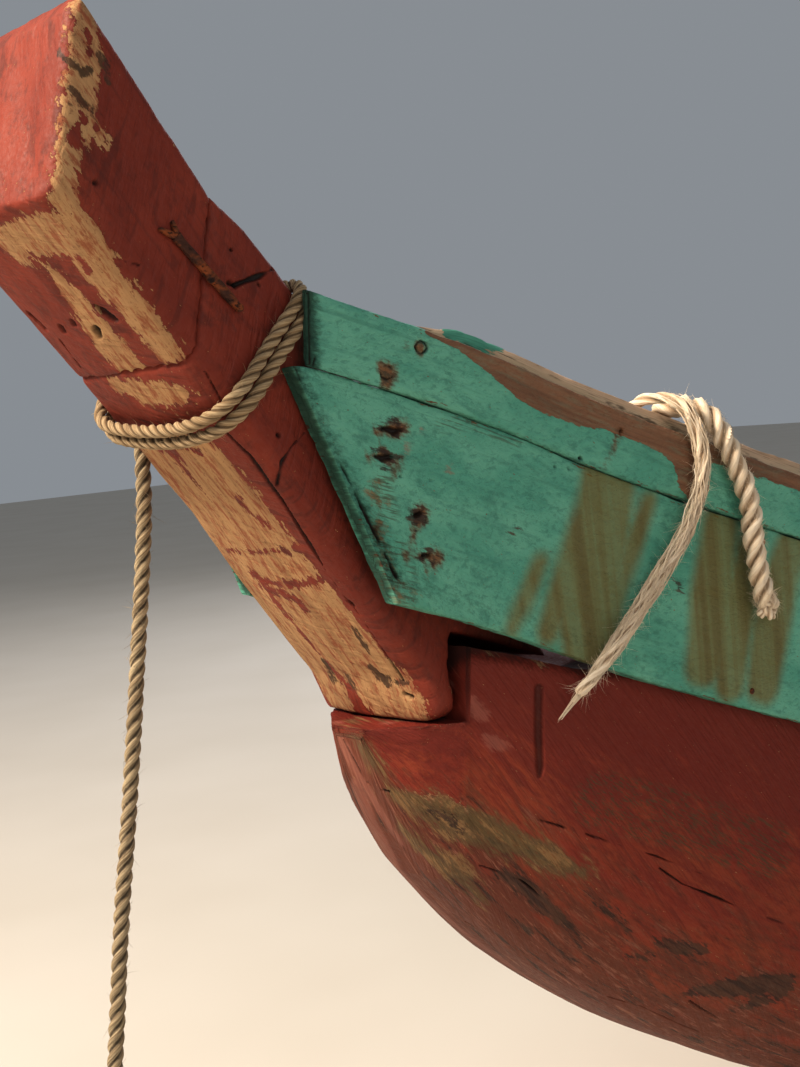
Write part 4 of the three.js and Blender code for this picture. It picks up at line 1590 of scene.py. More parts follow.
@dataclass
class Strake:
    """One plank of a side: nailed on edge, raked at its ends."""

    name: str
    side: int
    end: float
    rake: float
    outer: float
    inner: float
    top: float
    bottom: float
    face_steps: int
    tip: float = 0.0              # thickness left at the tips, if they are thinned
    tip_from: float = 3320.0
    thick_steps: int = 4
    arris: float = 1.6            # small chamfer left by the plane

    def corner(self, at: np.ndarray, inset: np.ndarray | float, drop: float) -> np.ndarray:
        """Point of the plank at an inset from the face and a drop from the sheer."""
        return np.stack([at, self.side * (top_y(at) - inset), top_z(at) - drop], -1)

    def skin(self) -> Surface:
        """The plank's surface.

        Returns:
            The surface with its grain.
        """
        x = stations(self.end)
        low = x - self.rake * np.maximum(0, (np.abs(x) - 3000) / 400) ** 1.5 * np.sign(x)
        inner = np.full_like(x, self.inner)
        if self.tip:
            inner = np.interp(np.abs(x), [self.tip_from - 30, self.tip_from],
                              [self.inner, self.tip])
        corners = [self.corner(x, self.outer, self.top), self.corner(low, self.outer, self.bottom),
                   self.corner(low, inner, self.bottom), self.corner(x, inner, self.top)]
        height, thick = self.bottom - self.top, float(self.inner - self.outer)
        a = min(self.arris, 0.2 * thick)
        down = np.concatenate([[0, a], np.linspace(a, height - a, self.face_steps)[1:-1],
                               [height - a, height]]) / height
        across = np.linspace(a, thick - a, self.thick_steps) / thick
        spots = [(0.0, v) for v in down[1:-1]] + [(u, 1.0) for u in across]
        spots += [(1.0, v) for v in down[1:-1][::-1]] + [(u, 0.0) for u in across[::-1]]
        rings, grain = [], []
        for u, v in spots:
            outside = corners[0] * (1 - v) + corners[1] * v
            inside = corners[3] * (1 - v) + corners[2] * v
            rings.append(outside * (1 - u) + inside * u)
            shift = 700 if self.side < 0 else 0
            grain.append(np.stack([x + shift, np.full_like(x, self.top + v * height),
                                   np.full_like(x, u * thick + 90)], -1))
        rings, grain = np.stack(rings, 1), np.stack(grain, 1)
        return self.capped(rings, grain, len(down) - 2)

    @staticmethod
    def capped(rings: np.ndarray, grain: np.ndarray, faces: int) -> Surface:
        """Closes the plank's ends with rows that shrink to the middle line.

        Args:
            rings: sections of the plank.
            grain: its grain.
            faces: points on its outer face.

        Returns:
            The closed surface.
        """
        count = rings.shape[1]
        partner = (2 * faces + (count - 2 * faces) // 2 - 1 - np.arange(count)) % count
        ends = []
        for r in (0, -1):
            middle = (rings[r] + rings[r][partner]) / 2
            ends.append([rings[r] * (1 - t) + middle * t for t in (0.35, 0.7, 1)])
        full = np.array(ends[0][::-1] + list(rings) + ends[1])
        lines = np.array([grain[0]] * 3 + list(grain) + [grain[-1]] * 3)
        return loft(full, lines, shut=False)

    def build(self, finish: bpy.types.Material, slot: str, marks: list[Mark],
              hewing: Hewing) -> None:
        """Builds the plank.

        Args:
            finish: its finish.
            slot: name of its slot, kept on the piece.
            marks: wear on it.
            hewing: how rough it is.
        """
        mesh = self.skin().data(self.name)
        tidied(mesh)
        worked(mesh, marks + self.shaded_dirty_ends() + self.shaded_dirty_edge(), hewing)
        Piece(self.name, finish, slot, (self.name,)).place(mesh)

    def along(self, kind: Wear, inset: float, drop: float, size: float) -> Mark:
        """One stroke from end to end of the plank.

        Args:
            kind: what it does.
            inset: how far in from the sheer's face.
            drop: how far below the sheer.
            size: radius in mm.

        Returns:
            The stroke.
        """
        x = np.linspace(-self.end, self.end, 41)
        return stroke(kind, x, self.side * (top_y(x) - inset), top_z(x) - drop, size)

    def shaded_dirty_edge(self) -> list[Mark]:
        """Dirt and a painted shadow under the plank's lower edge, and painted shade along it inside
        the boat.

        Returns:
            Both strokes.
        """
        middle = (self.outer + self.inner) / 2
        return [self.along(Wear.DIRT_AND_SHADE, middle, self.bottom + 10, middle - self.outer - 2),
                self.along(Wear.DIRT_AND_SHADE, self.inner + 16, self.bottom - 30, 30)]

    def shaded_dirty_ends(self) -> list[Mark]:
        """Dirt and painted shade in the end grain of both ends, with a dark broken arris.

        Returns:
            Two strokes for each end.
        """
        tip = self.tip or self.inner
        marks = []
        for sign in (1, -1):
            x = np.array([sign * self.end] * 5)
            t = np.linspace(0, 1, 5)
            fall = self.rake * max(0, (self.end - 3000) / 400) ** 1.5 * t
            run = top_z(x) - self.top - (self.bottom - self.top) * t
            for kind, inset, size, slip in ((Wear.DIRT_AND_SHADE, (self.outer + tip) / 2, 11, 0),
                                            (Wear.CRACK, self.outer, 1.3, 1)):
                y = self.side * (top_y(x - sign * fall) - inset)
                marks.append(stroke(kind, x - sign * (fall + slip), y, run, size))
        return marks


@dataclass
class Rail(Strake):
    """Wale nailed inside the top of the upper plank; its ends taper off."""

    above: float = 26
    below: float = 35
    wide: float = 35

    def shaded_dirty_edge(self) -> list[Mark]:
        """Painted shadow: a dark line in the gap between the rail and the plank."""
        return [self.along(Wear.DARK, UPPER_THICK, -4.5, 3.4)]

    def skin(self) -> Surface:
        """The rail's surface.

        Returns:
            The surface with its grain.
        """
        x = stations(self.end)
        grown = np.minimum(1, (self.end - np.abs(x)) / 90 + 0.08)
        outer = top_y(x) - UPPER_THICK - 0.4
        high, wide, soft = self.above + self.below, self.wide, 5.0
        spots = [(0.0, v) for v in np.linspace(soft, high - soft, 9)]
        spots += [(1.5, high - 1.5)] + [(u, high) for u in np.linspace(soft, wide - soft, 4)]
        spots.append((wide - 1.5, high - 1.5))
        spots += [(wide, v) for v in np.linspace(high - soft, soft, 9)]
        spots += [(wide - 1.5, 1.5)] + [(u, 0.0) for u in np.linspace(wide - soft, soft, 4)]
        spots.append((1.5, 1.5))
        rings, grain = [], []
        for u, v in spots:
            z = top_z(x) + (self.above - v) * grown
            rings.append(np.stack([x, self.side * (outer - u * grown), z], -1))
            grain.append(np.stack([x + 300, np.full_like(x, u), np.full_like(x, v)], -1))
        return self.capped(np.stack(rings, 1), np.stack(grain, 1), 9)


# ------------------------------------------------------------------ prow


STEM_WIDE = 214.0
ALONG_NECK = (0.559, 0.0, 0.829)


@dataclass
class Prow:
    """The raised prow: a hewn beam that hangs into the dugout's notch, and a
    head block spliced on it and held by an iron dog on each side."""

    finish: bpy.types.Material
    iron: bpy.types.Material
    dog_wide: float = 11.5
    dog_thick: float = 7.0
    dogs: tuple = (
        ("port", 1, (3543, 1470), (3464, 1384)), ("starboard", -1, (3557, 1490), (3478, 1404)))

    def beam(self, node_name: str, voxel: float, marks: list[Mark], hewing: Hewing) -> None:
        """Builds one beam over its CAD solid.

        Args:
            node_name: CAD node of the beam.
            voxel: mesh size in mm.
            marks: wear on it.
            hewing: how rough it is.
        """
        sign = -1 if node_name == "stern_post" else 1
        mesh = carried(node_name, voxel, (ALONG_NECK[0] * sign, 0.0, ALONG_NECK[2]))
        worked(mesh, marks, hewing)
        Piece(f"{node_name}_wood", self.finish, "red_paint", (node_name,)).place(mesh)

    def dog(self, name: str, side: int, start: tuple[float, float],
            end: tuple[float, float]) -> None:
        """Forges one dog: a flat bar, forked at its upper end and nailed.

        Args:
            name: side of the boat.
            side: 1 to port, -1 to starboard.
            start: x and z of its upper end.
            end: x and z of its lower end.
        """
        a, b = np.array([start[0], 0, start[1]], float), np.array([end[0], 0, end[1]], float)
        way = (b - a) / np.linalg.norm(b - a)
        across = np.cross(way, [0, 1, 0])
        out = np.array([0, side, 0])
        face = out * (STEM_WIDE / 2 + 0.4)
        t = np.linspace(0, 1, 17)
        shaft = a + way * 16 + (b - a - way * 16)[None] * t[:, None]
        bars = [(shaft, self.dog_wide * np.interp(
            t, [0, 0.1, 0.8, 1], [1.05, 0.85, 0.9, 0.55]), 1.0)]
        for lean in (-1, 1):
            prong = a + way * 19 + np.outer(t, -way * (21 if lean > 0 else 16) + across * lean * 8)
            bars.append((prong, self.dog_wide * np.interp(t, [0, 0.5, 1], [0.55, 0.62, 0.3]), 0.85))
        turns = np.linspace(0, 2 * math.pi, 14, endpoint=False)
        body, rise = (np.sign(v) * np.abs(v) ** 0.6 for v in (np.cos(turns), np.sin(turns)))
        forged = []
        for line, wide, high in bars:
            thick = self.dog_thick * high
            ring = (line[:, None] + face + body[None, :, None] * wide[:, None, None] / 2 * across
                    + (rise[None, :, None] * 0.5 + 0.52) * thick * out)
            forged.append(loft(ring, ring))
        bar = joined(forged)
        bar.points = bar.points + (0.5 * noise(bar.points, 5.0, 3)[:, None] * out
                                   + 0.5 * noise(bar.points, 9.0, 4)[:, None] * across)
        nails = [self.nail(at + face + out * self.dog_thick * 0.9, out, size)
                 for at, size in ((a + way * 70 + across * 3, 5.2), (b - way * 3, 4.2))]
        mesh = joined([bar, *nails]).data(f"iron_dog_forged_{name}")
        tidied(mesh, 0.01)
        put_grain(mesh, points_of(mesh), MM)
        Piece(f"iron_dog_forged_{name}", self.iron, "rusty_iron", (f"iron_dog_{name}",)).place(mesh)

    @staticmethod
    def nail(at: np.ndarray, out: np.ndarray, size: float) -> Surface:
        """Domed nail head.

        Args:
            at: middle of its foot.
            out: way that it faces.
            size: its radius.

        Returns:
            Its surface.
        """
        _, side, up = carried_frames(np.array([at, at + out]))
        ring = round_about(np.linspace(0, 2 * math.pi, 10, endpoint=False), side, up)[0]
        rows = np.array([at + out * rise * size + size * reach * ring for reach, rise in (
            (1, -0.3), (1.05, 0.15), (0.7, 0.42), (0.25, 0.5))])
        return loft(rows, rows)

    def build(self, head: list[Mark], neck: list[Mark]) -> None:
        """Builds the prow, the stern beam and the dogs.

        Args:
            head: wear on the head block.
            neck: wear on the beam.
        """
        self.beam("prow_head", 3.6, head, Hewing(0.8, 120, 60, 0.45, 40, 14, 1.3, 21))
        self.beam("prow_neck", 4.2, neck, Hewing(1.0, 160, 60, 0.5, 45, 14, 1.3, 31))
        stern = shifted(neck, (-1, 1, 1), 0, Wear.CRACK)
        self.beam("stern_post", 9, stern, Hewing(1.6, 160, 60, 0.6, 45, 16, 1.6, 41))
        for dog in self.dogs:
            self.dog(*dog)


@dataclass
class Fastenings:
    """Rusted clench nails that hold the strakes to each other and to the
    ribs."""

    iron: bpy.types.Material
    size: float = 5.0

    def build(self, side: int, label: str) -> None:
        """Builds one side's nails.

        Args:
            side: 1 to port, -1 to starboard.
            label: name of the side.
        """
        rng = np.random.default_rng(77 + side)
        rows = ((PROUD, UPPER_HEIGHT + 22), (0, UPPER_HEIGHT - 20),
                (PROUD, UPPER_HEIGHT + LOWER_HEIGHT - 24))
        spots = np.array([(x + rng.normal(0, 14), inset, drop + rng.normal(0, 4))
                          for x, (inset, drop) in product(np.arange(-3100, 2960, 170), rows)])
        x, inset, drop = spots.T
        out = np.array([0.0, side, 0.0])
        places = np.stack([x, side * (top_y(x) - inset), top_z(x) - drop], 1)
        heads = joined([Prow.nail(at - out * 0.4, out, self.size * rng.uniform(0.8, 1.15))
                        for at in places])
        mesh = heads.data(f"nails_{label}")
        put_grain(mesh, heads.grain, MM)
        Piece(f"nails_{label}", self.iron, "rusty_iron").place(mesh)


# ------------------------------------------------------------------ timbers


@dataclass
class Timbers:
    """Thwarts, grown ribs, booms and float: their CAD solids, dressed."""

    sawn: bpy.types.Material
    pole: bpy.types.Material

    def build(self) -> None:
        """Builds every timber."""
        # Mesh size in mm, way of the grain, how rough, finish and slot
        kinds = {
            "thwart_": (8, (0, 1, 0), (1.0, 260, 60, 0.5, 60, 14, 1.6), self.sawn, "bare_wood"),
            "rib_": (8, (0, 0.3, 1), (1.6, 90, 40, 0.6, 30, 12, 2.0), self.sawn, "bare_wood"),
            "boom_": (9, (0, 1, 0.02), (1.4, 200, 60, 0.7, 60, 14, 0.6), self.pole,
                      "weathered_wood"),
            "float_log": (12, (1, 0, 0), (1.8, 300, 80, 0.9, 80, 18, 1.2), self.pole,
                          "weathered_wood")}
        for number, name in enumerate(sorted(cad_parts)):
            for start, (voxel, along, rough, finish, slot) in kinds.items():
                if name.startswith(start):
                    mesh = carried(name, voxel, along)
                    worked(mesh, [], Hewing(*rough, 100 + number * 13))
                    Piece(f"{name}_wood", finish, slot, (name,)).place(mesh)


# ------------------------------------------------------------------ rigging


@dataclass
class Rigging:
    """All ropes: the bow line with its coil, the turns round the prow, two
    loose ends over the rail, and the lashings of the booms."""

    line_finish: bpy.types.Material
    turn_finish: bpy.types.Material
    tail_finish: bpy.types.Material
    line_diameter: float = 19
    line_lying: float = 9.7      # middle of the bow line over the ground
    turn_diameter: float = 15
    line_route: tuple = (
        (3453, -129.5, 1271.5), (3454, -130.5, 1235), (3457, -130.5, 1195), (3463, -130, 1150),
        (3492, -130, 985), (3517, -130, 850), (3544, -130, 715), (3572, -130, 551),
        (3597, -130, 420), (3624, -130, 290), (3650, -130, 170), (3682, -131, 78),
        (3722, -134, 26), (3756, -146, 9.7), (3779, -176, 9.7), (3786, -205, 9.7),
        (3787.5, -229, 9.7))
    coil_centre: Point = (3661, -300, 0)
    coil_mean: float = 107.5
    hitch: Point = (3453, -128.5, 1293)
    frayed_route: tuple = (
        (2906, 150, 1144), (2926, 155, 1175), (2948, 165, 1212), (2956, 179, 1244),
        (2958, 205, 1254), (2956, 235, 1254), (2952, 259, 1243), (2947, 271, 1216),
        (2942, 272, 1190), (2945, 271, 1155), (2958, 268, 1121), (2979, 262, 1088),
        (3024, 250, 1035), (3083, 236, 973), (3133, 224, 929))
    laid_route: tuple = (
        (2880, 174, 1146), (2893, 175, 1170), (2909, 179, 1203), (2918, 194, 1235),
        (2920, 217, 1242), (2920, 245, 1241), (2917, 266, 1230), (2911, 279, 1207),
        (2903, 285, 1180), (2891, 289, 1149), (2883, 292, 1112), (2883, 293, 1076),
        (2877, 294, 1033), (2869, 296, 989))

    def coil_route(self) -> np.ndarray:
        """Turns of the coil: three inward on the ground, three outward on top.

        Returns:
            Points of the route, 16 a turn.
        """
        pitch = self.line_diameter
        points = []
        for layer in (0, 1):
            for k in range(3 * 16 + 1):
                turn = k / 16
                if layer and k == 0:
                    continue
                shift = turn // 1 + np.clip((turn % 1 - 0.8) / 0.2, 0, 1)
                shift = min(shift, 2.0)
                radius = self.coil_mean + pitch * (1 - shift if layer == 0 else shift - 1)
                rise = self.line_lying + pitch * layer
                if layer == 0 and turn > 2.8:
                    rise += pitch * (turn - 2.8) / 0.2
                angle = -2 * math.pi * turn
                points.append((self.coil_centre[0] + radius * math.cos(angle),
                               self.coil_centre[1] + radius * math.sin(angle), rise))
        return np.array(points)

    def bow_line(self) -> None:
        """Builds the bow line with its coil, end knot and fibres."""
        route = np.vstack([np.array(self.line_route)[:-1], self.coil_route()])
        rope = Rope("bow_line_rope", route, self.line_diameter, step=3.2, sides=21, lay=2.9, seed=3)
        made = rope.made(self.line_finish, ("bow_line", "bow_line_coil"))
        hairs = Fibres("bow_line_fibres", 0.34).off(rope, 420, (5, 16), 0.5, 5, (0.0, 0.29))
        hairs.off(rope, 160, (5, 16), 0.5, 6, (0.29, 1.0))
        fluff = hairs.made(self.line_finish)
        end = rope.line[-1]
        knot = Rope("bow_line_end_knot", knot_line((end[0], end[1] - 4, end[2] + 7), 15, 70), 15,
                    step=2.2, sides=18, lay=2.9, seed=5)
        tied = knot.made(self.line_finish, ())

    def bow_hitch(self) -> None:
        """Builds the knot that ties the bow line to the turns."""
        knot = Rope("bow_line_knot", knot_line(self.hitch, 13.0, 20), 13, step=2, sides=18,
                    lay=2.9, seed=8)
        knot.made(self.line_finish, ("bow_line_hitch",))

    def stem_turns(self) -> None:
        """Builds the two turns round the prow beam."""
        top, low = np.array([3381.0, 1394.0]), np.array([3483.0, 1277.0])
        along = low - top
        depth = float(np.linalg.norm(along))
        along /= depth
        up = np.array([0.62, 0.78]) / math.hypot(0.62, 0.78)
        half, clear, corner = STEM_WIDE / 2, self.turn_diameter / 2 + 2.8, 9.0
        turned = 24.0                 # the beam's lower port corner is worn round
        bend = turned - (turned + clear) * math.sqrt(0.5)
        loop = [
            (half + clear, corner), (half + clear, depth / 2), (half + clear, depth - turned),
            (half - bend, depth - bend), (half - turned, depth + clear + 8),
            (0, depth + clear + 18), (corner - half, depth + clear + 13),
            (-half - clear, depth + 4), (-half - clear, depth / 2), (-half - clear, corner),
            (corner - half, -clear), (0, -clear), (half - corner, -clear)]
        points = []
        for i in range(1, len(loop) * 2 + 2):
            y, level = loop[(i + 7) % len(loop)]
            down = depth * 0.62 if i == 1 else level
            climb = (i / len(loop) - 1) * 17 + max(0, -y) * 0.13 + 2
            at = top + along * down + up * climb
            points.append((at[0], y, at[1]))
        rope = Rope("stem_turns_rope", np.array(points), self.turn_diameter, step=1.9, sides=24,
                    lay=3.1, waste=0.07, seed=13)
        rope.made(self.turn_finish, ("stem_turns",))
        hairs = Fibres("stem_turns_fibres", 0.32).off(rope, 520, (4, 13), 0.45, 15)
        hairs.made(self.turn_finish)

    def tails(self) -> None:
        """Builds the two loose ends that hang over the port rail."""
        core = Rope("tail_frayed_rope", np.array(self.frayed_route), 15, step=2.2, sides=24,
                    lay=8, sunk=0.5, waste=0.2, seed=23)
        made = core.made(self.tail_finish, ("tail_frayed",))
        loose = Fibres("tail_frayed_yarns", 1.45, sides=5, rows=16).unlaid(core, 150, 12)
        loose = loose.made(self.tail_finish)
        hairs = Fibres("tail_frayed_fibres", 0.3).off(core, 800, (8, 22), 0.4, 25, (0.3, 1.0))
        fluff = hairs.made(self.tail_finish)
        laid = Rope("tail_laid_rope", np.array(self.laid_route), 26, step=2.4, sides=27, lay=2.5,
                    sunk=0.5, waste=0.16, seed=33)
        made = laid.made(self.tail_finish, ("tail_laid",))
        tuft = Fibres("tail_laid_fibres", 0.4).off(laid, 700, (5, 13), 0.4, 35, (0.3, 1.0))
        tuft.off(laid, 200, (6, 14), 0.7, 36, (0.94, 1.0))
        fluff = tuft.made(self.tail_finish)
        end = laid.line[-1]
        knot = Rope("tail_laid_end_knot", knot_line((end[0], end[1], end[2] + 4), 12.5, 8), 11,
                    step=2, sides=18, lay=2.6, sunk=0.5, waste=0.16, seed=37)
        tied = knot.made(self.tail_finish, ())

    def band(self, name: str, x: float, y: float, size: tuple, turns: int, diameter: float) -> None:
        """Builds one lashing: turns side by side round two timbers.

        Args:
            name: CAD node that it stands for.
            x: middle along X.
            y: middle along Y.
            size: low, shoulder, high, lower and upper half width, crown, in mm.
            turns: how many turns.
            diameter: the rope's, in mm.
        """
        low, shoulder, high, wide_low, wide_top, crown = size
        g = diameter / 2
        right = [(wide_low - 8, low - g), (wide_low + g, low + 5), (wide_low + g, shoulder),
                 (wide_top + g, high - crown * 2), (wide_top - crown * 0.55 + g * 0.7,
                                                    high - crown * 0.45 + g * 0.6), (16, high + g)]
        loop = [(0, low - g)] + right + [(-u, z) for u, z in right[::-1]]
        rng = np.random.default_rng(len(name) + int(abs(x + y)))
        points = []
        for k in range(turns * len(loop) + 1):
            u, z = loop[k % len(loop)]
            across = (k / len(loop) - turns / 2) * diameter
            points.append((x + u, y + across + rng.normal(0, 0.7), z))
        end = points[-1]
        points.append((end[0] + 26, end[1] + 3, end[2] - 1))
        rope = Rope(f"{name}_rope", np.array(points), diameter, step=5.5, sides=12, lay=3.2,
                    waste=0.08, seed=int(rng.integers(1, 99)))
        rope.made(self.turn_finish, (name,))

    def lashings(self) -> None:
        """Builds the lashings of the booms and the hitch on the bow thwart."""
        for name, x in (("fore", 900.0), ("aft", -1300.0)):
            at = np.array([abs(x) - 65, abs(x) + 65])
            seat = float(top_z(at).min()) - 37
            boom = float(top_z(np.array([x]))[0]) + 26 + 2.5 + 38
            hull = (seat - 33, seat + 3, boom + 41, 66.0, 42.0, 13.0)
            for side, label in ((1, "port"), (-1, "starboard")):
                self.band(f"lashing_{name}_{label}", x, side * 310.0, hull, 6, 9.6)
            self.band(f"lashing_{name}_float", x, -1900.0, (12, 178, 248, 58, 34, 13), 4, 9.6)
        seat = float(top_z(np.array([2835.0]))[0]) - 37
        self.band("tail_hitch", 2880, 165, (seat - 33, seat - 27, seat + 1, 46, 46, 0.5), 4, 12)

    def build(self) -> None:
        """Builds every rope."""
        self.bow_line()
        self.tails()
        self.bow_hitch()
        self.stem_turns()
        self.lashings()


# Wear read off the port bow: x, y, z and radius of each stroke
HEAD_MARKS = strokes({
    Wear.BARE: (
        ((3608, 105, 1677, 13.3), (3609, 107, 1653, 17.1), (3610, 107, 1629, 17.1),
         (3618, 107, 1596, 19), (3624, 107, 1563, 18.9), (3641, 106, 1537, 11.3),
         (3647, 106, 1511, 11.3), (3644, 100, 1490, 15.1)),
        ((3604, 107, 1552, 8.6), (3598, 107, 1549, 4.8)),
        ((3654, 0, 1465, 23.9), (3647, 48, 1468, 24.3), (3633, 89, 1463, 25.9),
         (3613, 85, 1435, 22.3), (3590, 82, 1406, 21.6), (3567, 83, 1378, 20.9),
         (3543, 83, 1349, 20.1)),
        ((3636, 12, 1447, 9), (3614, 20, 1422, 12), (3594, 22, 1397, 18.2), (3566, 18, 1361, 22.6),
         (3542, 21, 1332, 20.8))),
    Wear.PAINT: (
        ((3641, 11, 1453, 4), (3629, 9, 1437, 9), (3616, 5, 1420, 6.1)),
        ((3624, 64, 1444, 2), (3618, 76, 1438, 3.9), (3611, 70, 1429, 2)),
        ((3593, 107, 1649, 1.9), (3589, 107, 1640, 2.9)),
        ((3620, 104, 1660, 1.9), (3622, 104, 1650, 2.4)),
        ((3607, 107, 1653, 1.9), (3605, 107, 1636, 2.9), (3604, 107, 1630, 1.9)),
        ((3630, 107, 1549, 7.6), (3624, 107, 1568, 4.7)),
        ((3599, 43, 1409, 4), (3569, 43, 1372, 5.1), (3552, 52, 1352, 4.1)),
        ((3586, 62, 1397, 3), (3562, 61, 1368, 4), (3547, 63, 1349, 3))),
    Wear.DARK: (
        ((3631, 95, 1633, 2.4), (3628, 104, 1622, 3.8), (3619, 107, 1611, 2.8),
         (3608, 107, 1614, 3.8)),
        ((3597, 107, 1629, 1.9), (3590, 107, 1619, 3.8), (3589, 107, 1609, 1.9)),
        ((3629, 106, 1594, 2.8), (3622, 107, 1585, 4.7), (3610, 107, 1580, 3.8),
         (3602, 107, 1571, 2.9))),
    Wear.HOLE: (
        ((3601, -81, 1404, 3.7), (3593, -76, 1394, 4.3), (3588, -74, 1387, 2.7)),
        ((3589, -37, 1385, 4.2), (3586, -39, 1381, 3.1)),
        ((3592, -9, 1388, 3.6), (3589, -10, 1385, 3.1)),
        ((3592, 40, 1399, 2), (3585, 46, 1392, 4.5), (3577, 51, 1383, 5)),
        ((3579, 16, 1377, 5.6), (3575, 14, 1371, 4.1)),
        ((3614, 107, 1509, 2.9),)),
    Wear.CRACK: (
        ((3579, -62, 1374, 0.9), (3554, -68, 1344, 0.9)),
        ((3598, 103, 1438, 0.7), (3572, 107, 1430, 1)),
        ((3596, 102, 1435, 0.5), (3574, 107, 1432, 0.8))),
})
NECK_MARKS = strokes({
    Wear.BARE: (
        ((3530, 7, 1311, 18.9), (3513, 46, 1299, 16.6)),
        ((3538, -28, 1322, 11), (3526, 21, 1310, 14), (3511, 68, 1303, 12)),
        ((3470, -84, 1240, 13), (3420, -84, 1172, 20), (3370, -80, 1097, 23),
         (3320, -72, 1027, 30), (3280, -66, 970, 31), (3248, -62, 925, 30)),
        ((3477, 9, 1245, 28), (3430, 10, 1186, 44), (3380, 9, 1113, 49.5), (3336, 16, 1050, 52.6),
         (3293, 18, 990, 53.6), (3256, 42, 932, 49.2)),
        ((3481, -74, 1253, 12.3), (3464, -56, 1229, 22.3), (3427, -56, 1182, 27.2),
         (3388, -47, 1122, 29.9)),
        ((3476, 40, 1248, 12.7), (3446, 46, 1211, 17.2), (3415, 43, 1171, 17.4),
         (3384, 49, 1128, 15.4))),
    Wear.PAINT: (
        ((3388, -75, 1125, 1.4), (3388, -3, 1123, 1.7), (3382, 42, 1124, 2.8),
         (3382, 84, 1131, 5.4), (3367, 105, 1137, 8.6)),
        ((3364, -39, 1085, 2.9), (3358, 26, 1083, 3.9), (3356, 77, 1092, 5.5),
         (3352, 102, 1104, 5.5)),
        ((3470, 60, 1245, 3.2), (3444, 62, 1211, 3.2), (3420, 63, 1180, 3.2)),
        ((3483, -17, 1251, 3.3), (3473, 23, 1242, 4.3)),
        ((3358, -41, 1076, 5.8), (3352, -8, 1067, 5.7), (3338, 5, 1049, 4.6)),
        ((3431, 24, 1189, 3.3), (3417, 23, 1171, 3.3)),
        ((3411, 32, 1164, 5.5), (3405, 38, 1157, 5.5)),
        ((3524, -46, 1304, 5.4), (3504, 41, 1286, 6.3), (3505, 83, 1300, 6.1))),
    Wear.DARK: (
        ((3286, -38, 974, 7.2), (3271, -46, 951, 6)),
        ((3274, -13, 957, 6), (3267, -13, 943, 6)),
        ((3277, 36, 973, 5.8), (3266, 43, 960, 10.5)),
        ((3261, 58, 955, 2.3), (3257, 76, 956, 2.3)),
        ((3310, 54, 1024, 3.4), (3291, 50, 998, 3.4))),
    Wear.HOLE: (
        ((3334, 78, 1061, 2.8), (3330, 81, 1056, 2.2)),
        ((3254, 66, 940, 3.5), (3251, 73, 937, 2.9)),
        ((3428, 107, 1253, 3.1),),
        ((3471, 107, 1412, 3.1), (3464, 107, 1409, 3.1)),
        ((3434, 107, 1410, 1.6),)),
    Wear.CRACK: (
        ((3477, 82, 1261, 0.8), (3454, 89, 1233, 1), (3418, 87, 1184, 1.1), (3376, 81, 1121, 1.1),
         (3359, 77, 1096, 1.1), (3319, 79, 1042, 0.9), (3275, 72, 981, 0.8), (3259, 71, 958, 0.8)),
        ((3394, 107, 1253, 0.8), (3413, 107, 1240, 1.1), (3426, 105, 1225, 1.3),
         (3428, 94, 1201, 1.1)),
        ((3521, 93, 1345, 0.8), (3507, 100, 1324, 1), (3474, 95, 1268, 0.8)),
        ((3465, 107, 1446, 1),),
        ((3464, 107, 1410, 1.2), (3436, 107, 1418, 2.1), (3411, 104, 1427, 1.3))),
})
UP_MARKS = strokes({
    Wear.CRACK: (
        ((3394, 137, 1330, 0.6), (3397, 136, 1322, 0.8)),
        ((3281, 167, 1334, 0.5), (3278, 168, 1338, 0.5), (3274, 169, 1340, 0.5),
         (3269, 170, 1337, 0.5), (3267, 171, 1332, 0.5), (3270, 170, 1328, 0.5),
         (3275, 168, 1326, 0.5), (3279, 167, 1329, 0.5), (3281, 167, 1334, 0.5)),
        ((3323, 156, 1310, 0.6), (3321, 156, 1315, 0.6), (3315, 158, 1317, 0.6),
         (3310, 159, 1314, 0.6), (3308, 160, 1309, 0.6), (3311, 159, 1303, 0.6),
         (3317, 157, 1302, 0.6), (3322, 156, 1304, 0.6), (3323, 156, 1310, 0.6))),
    Wear.IRON: (
        ((3327, 155, 1319, 3.2), (3315, 158, 1309, 8.5), (3318, 157, 1297, 5.3)),
        ((3287, 165, 1336, 3.2), (3274, 169, 1332, 7.5), (3273, 169, 1326, 4.3)),
        ((3036, 233, 1222, 4.6), (3047, 230, 1203, 3.5), (3059, 226, 1183, 2.9))),
    Wear.BARE: (
        ((3265, 171, 1350, 3.2), (3229, 181, 1334, 6.5), (3200, 189, 1316, 11),
         (3177, 195, 1299, 13.3), (3148, 203, 1279, 17.9), (3120, 210, 1264, 19.1),
         (3083, 220, 1247, 15.9), (3049, 229, 1233, 10.3), (3018, 238, 1216, 7),
         (2974, 249, 1198, 11.7), (2954, 255, 1180, 14.1), (2948, 257, 1158, 18.9),
         (2939, 259, 1143, 16.6)),),
    Wear.HOLE: (
        ((3036, 233, 1221, 2.1),),
        ((3091, 218, 1195, 3),)),
})
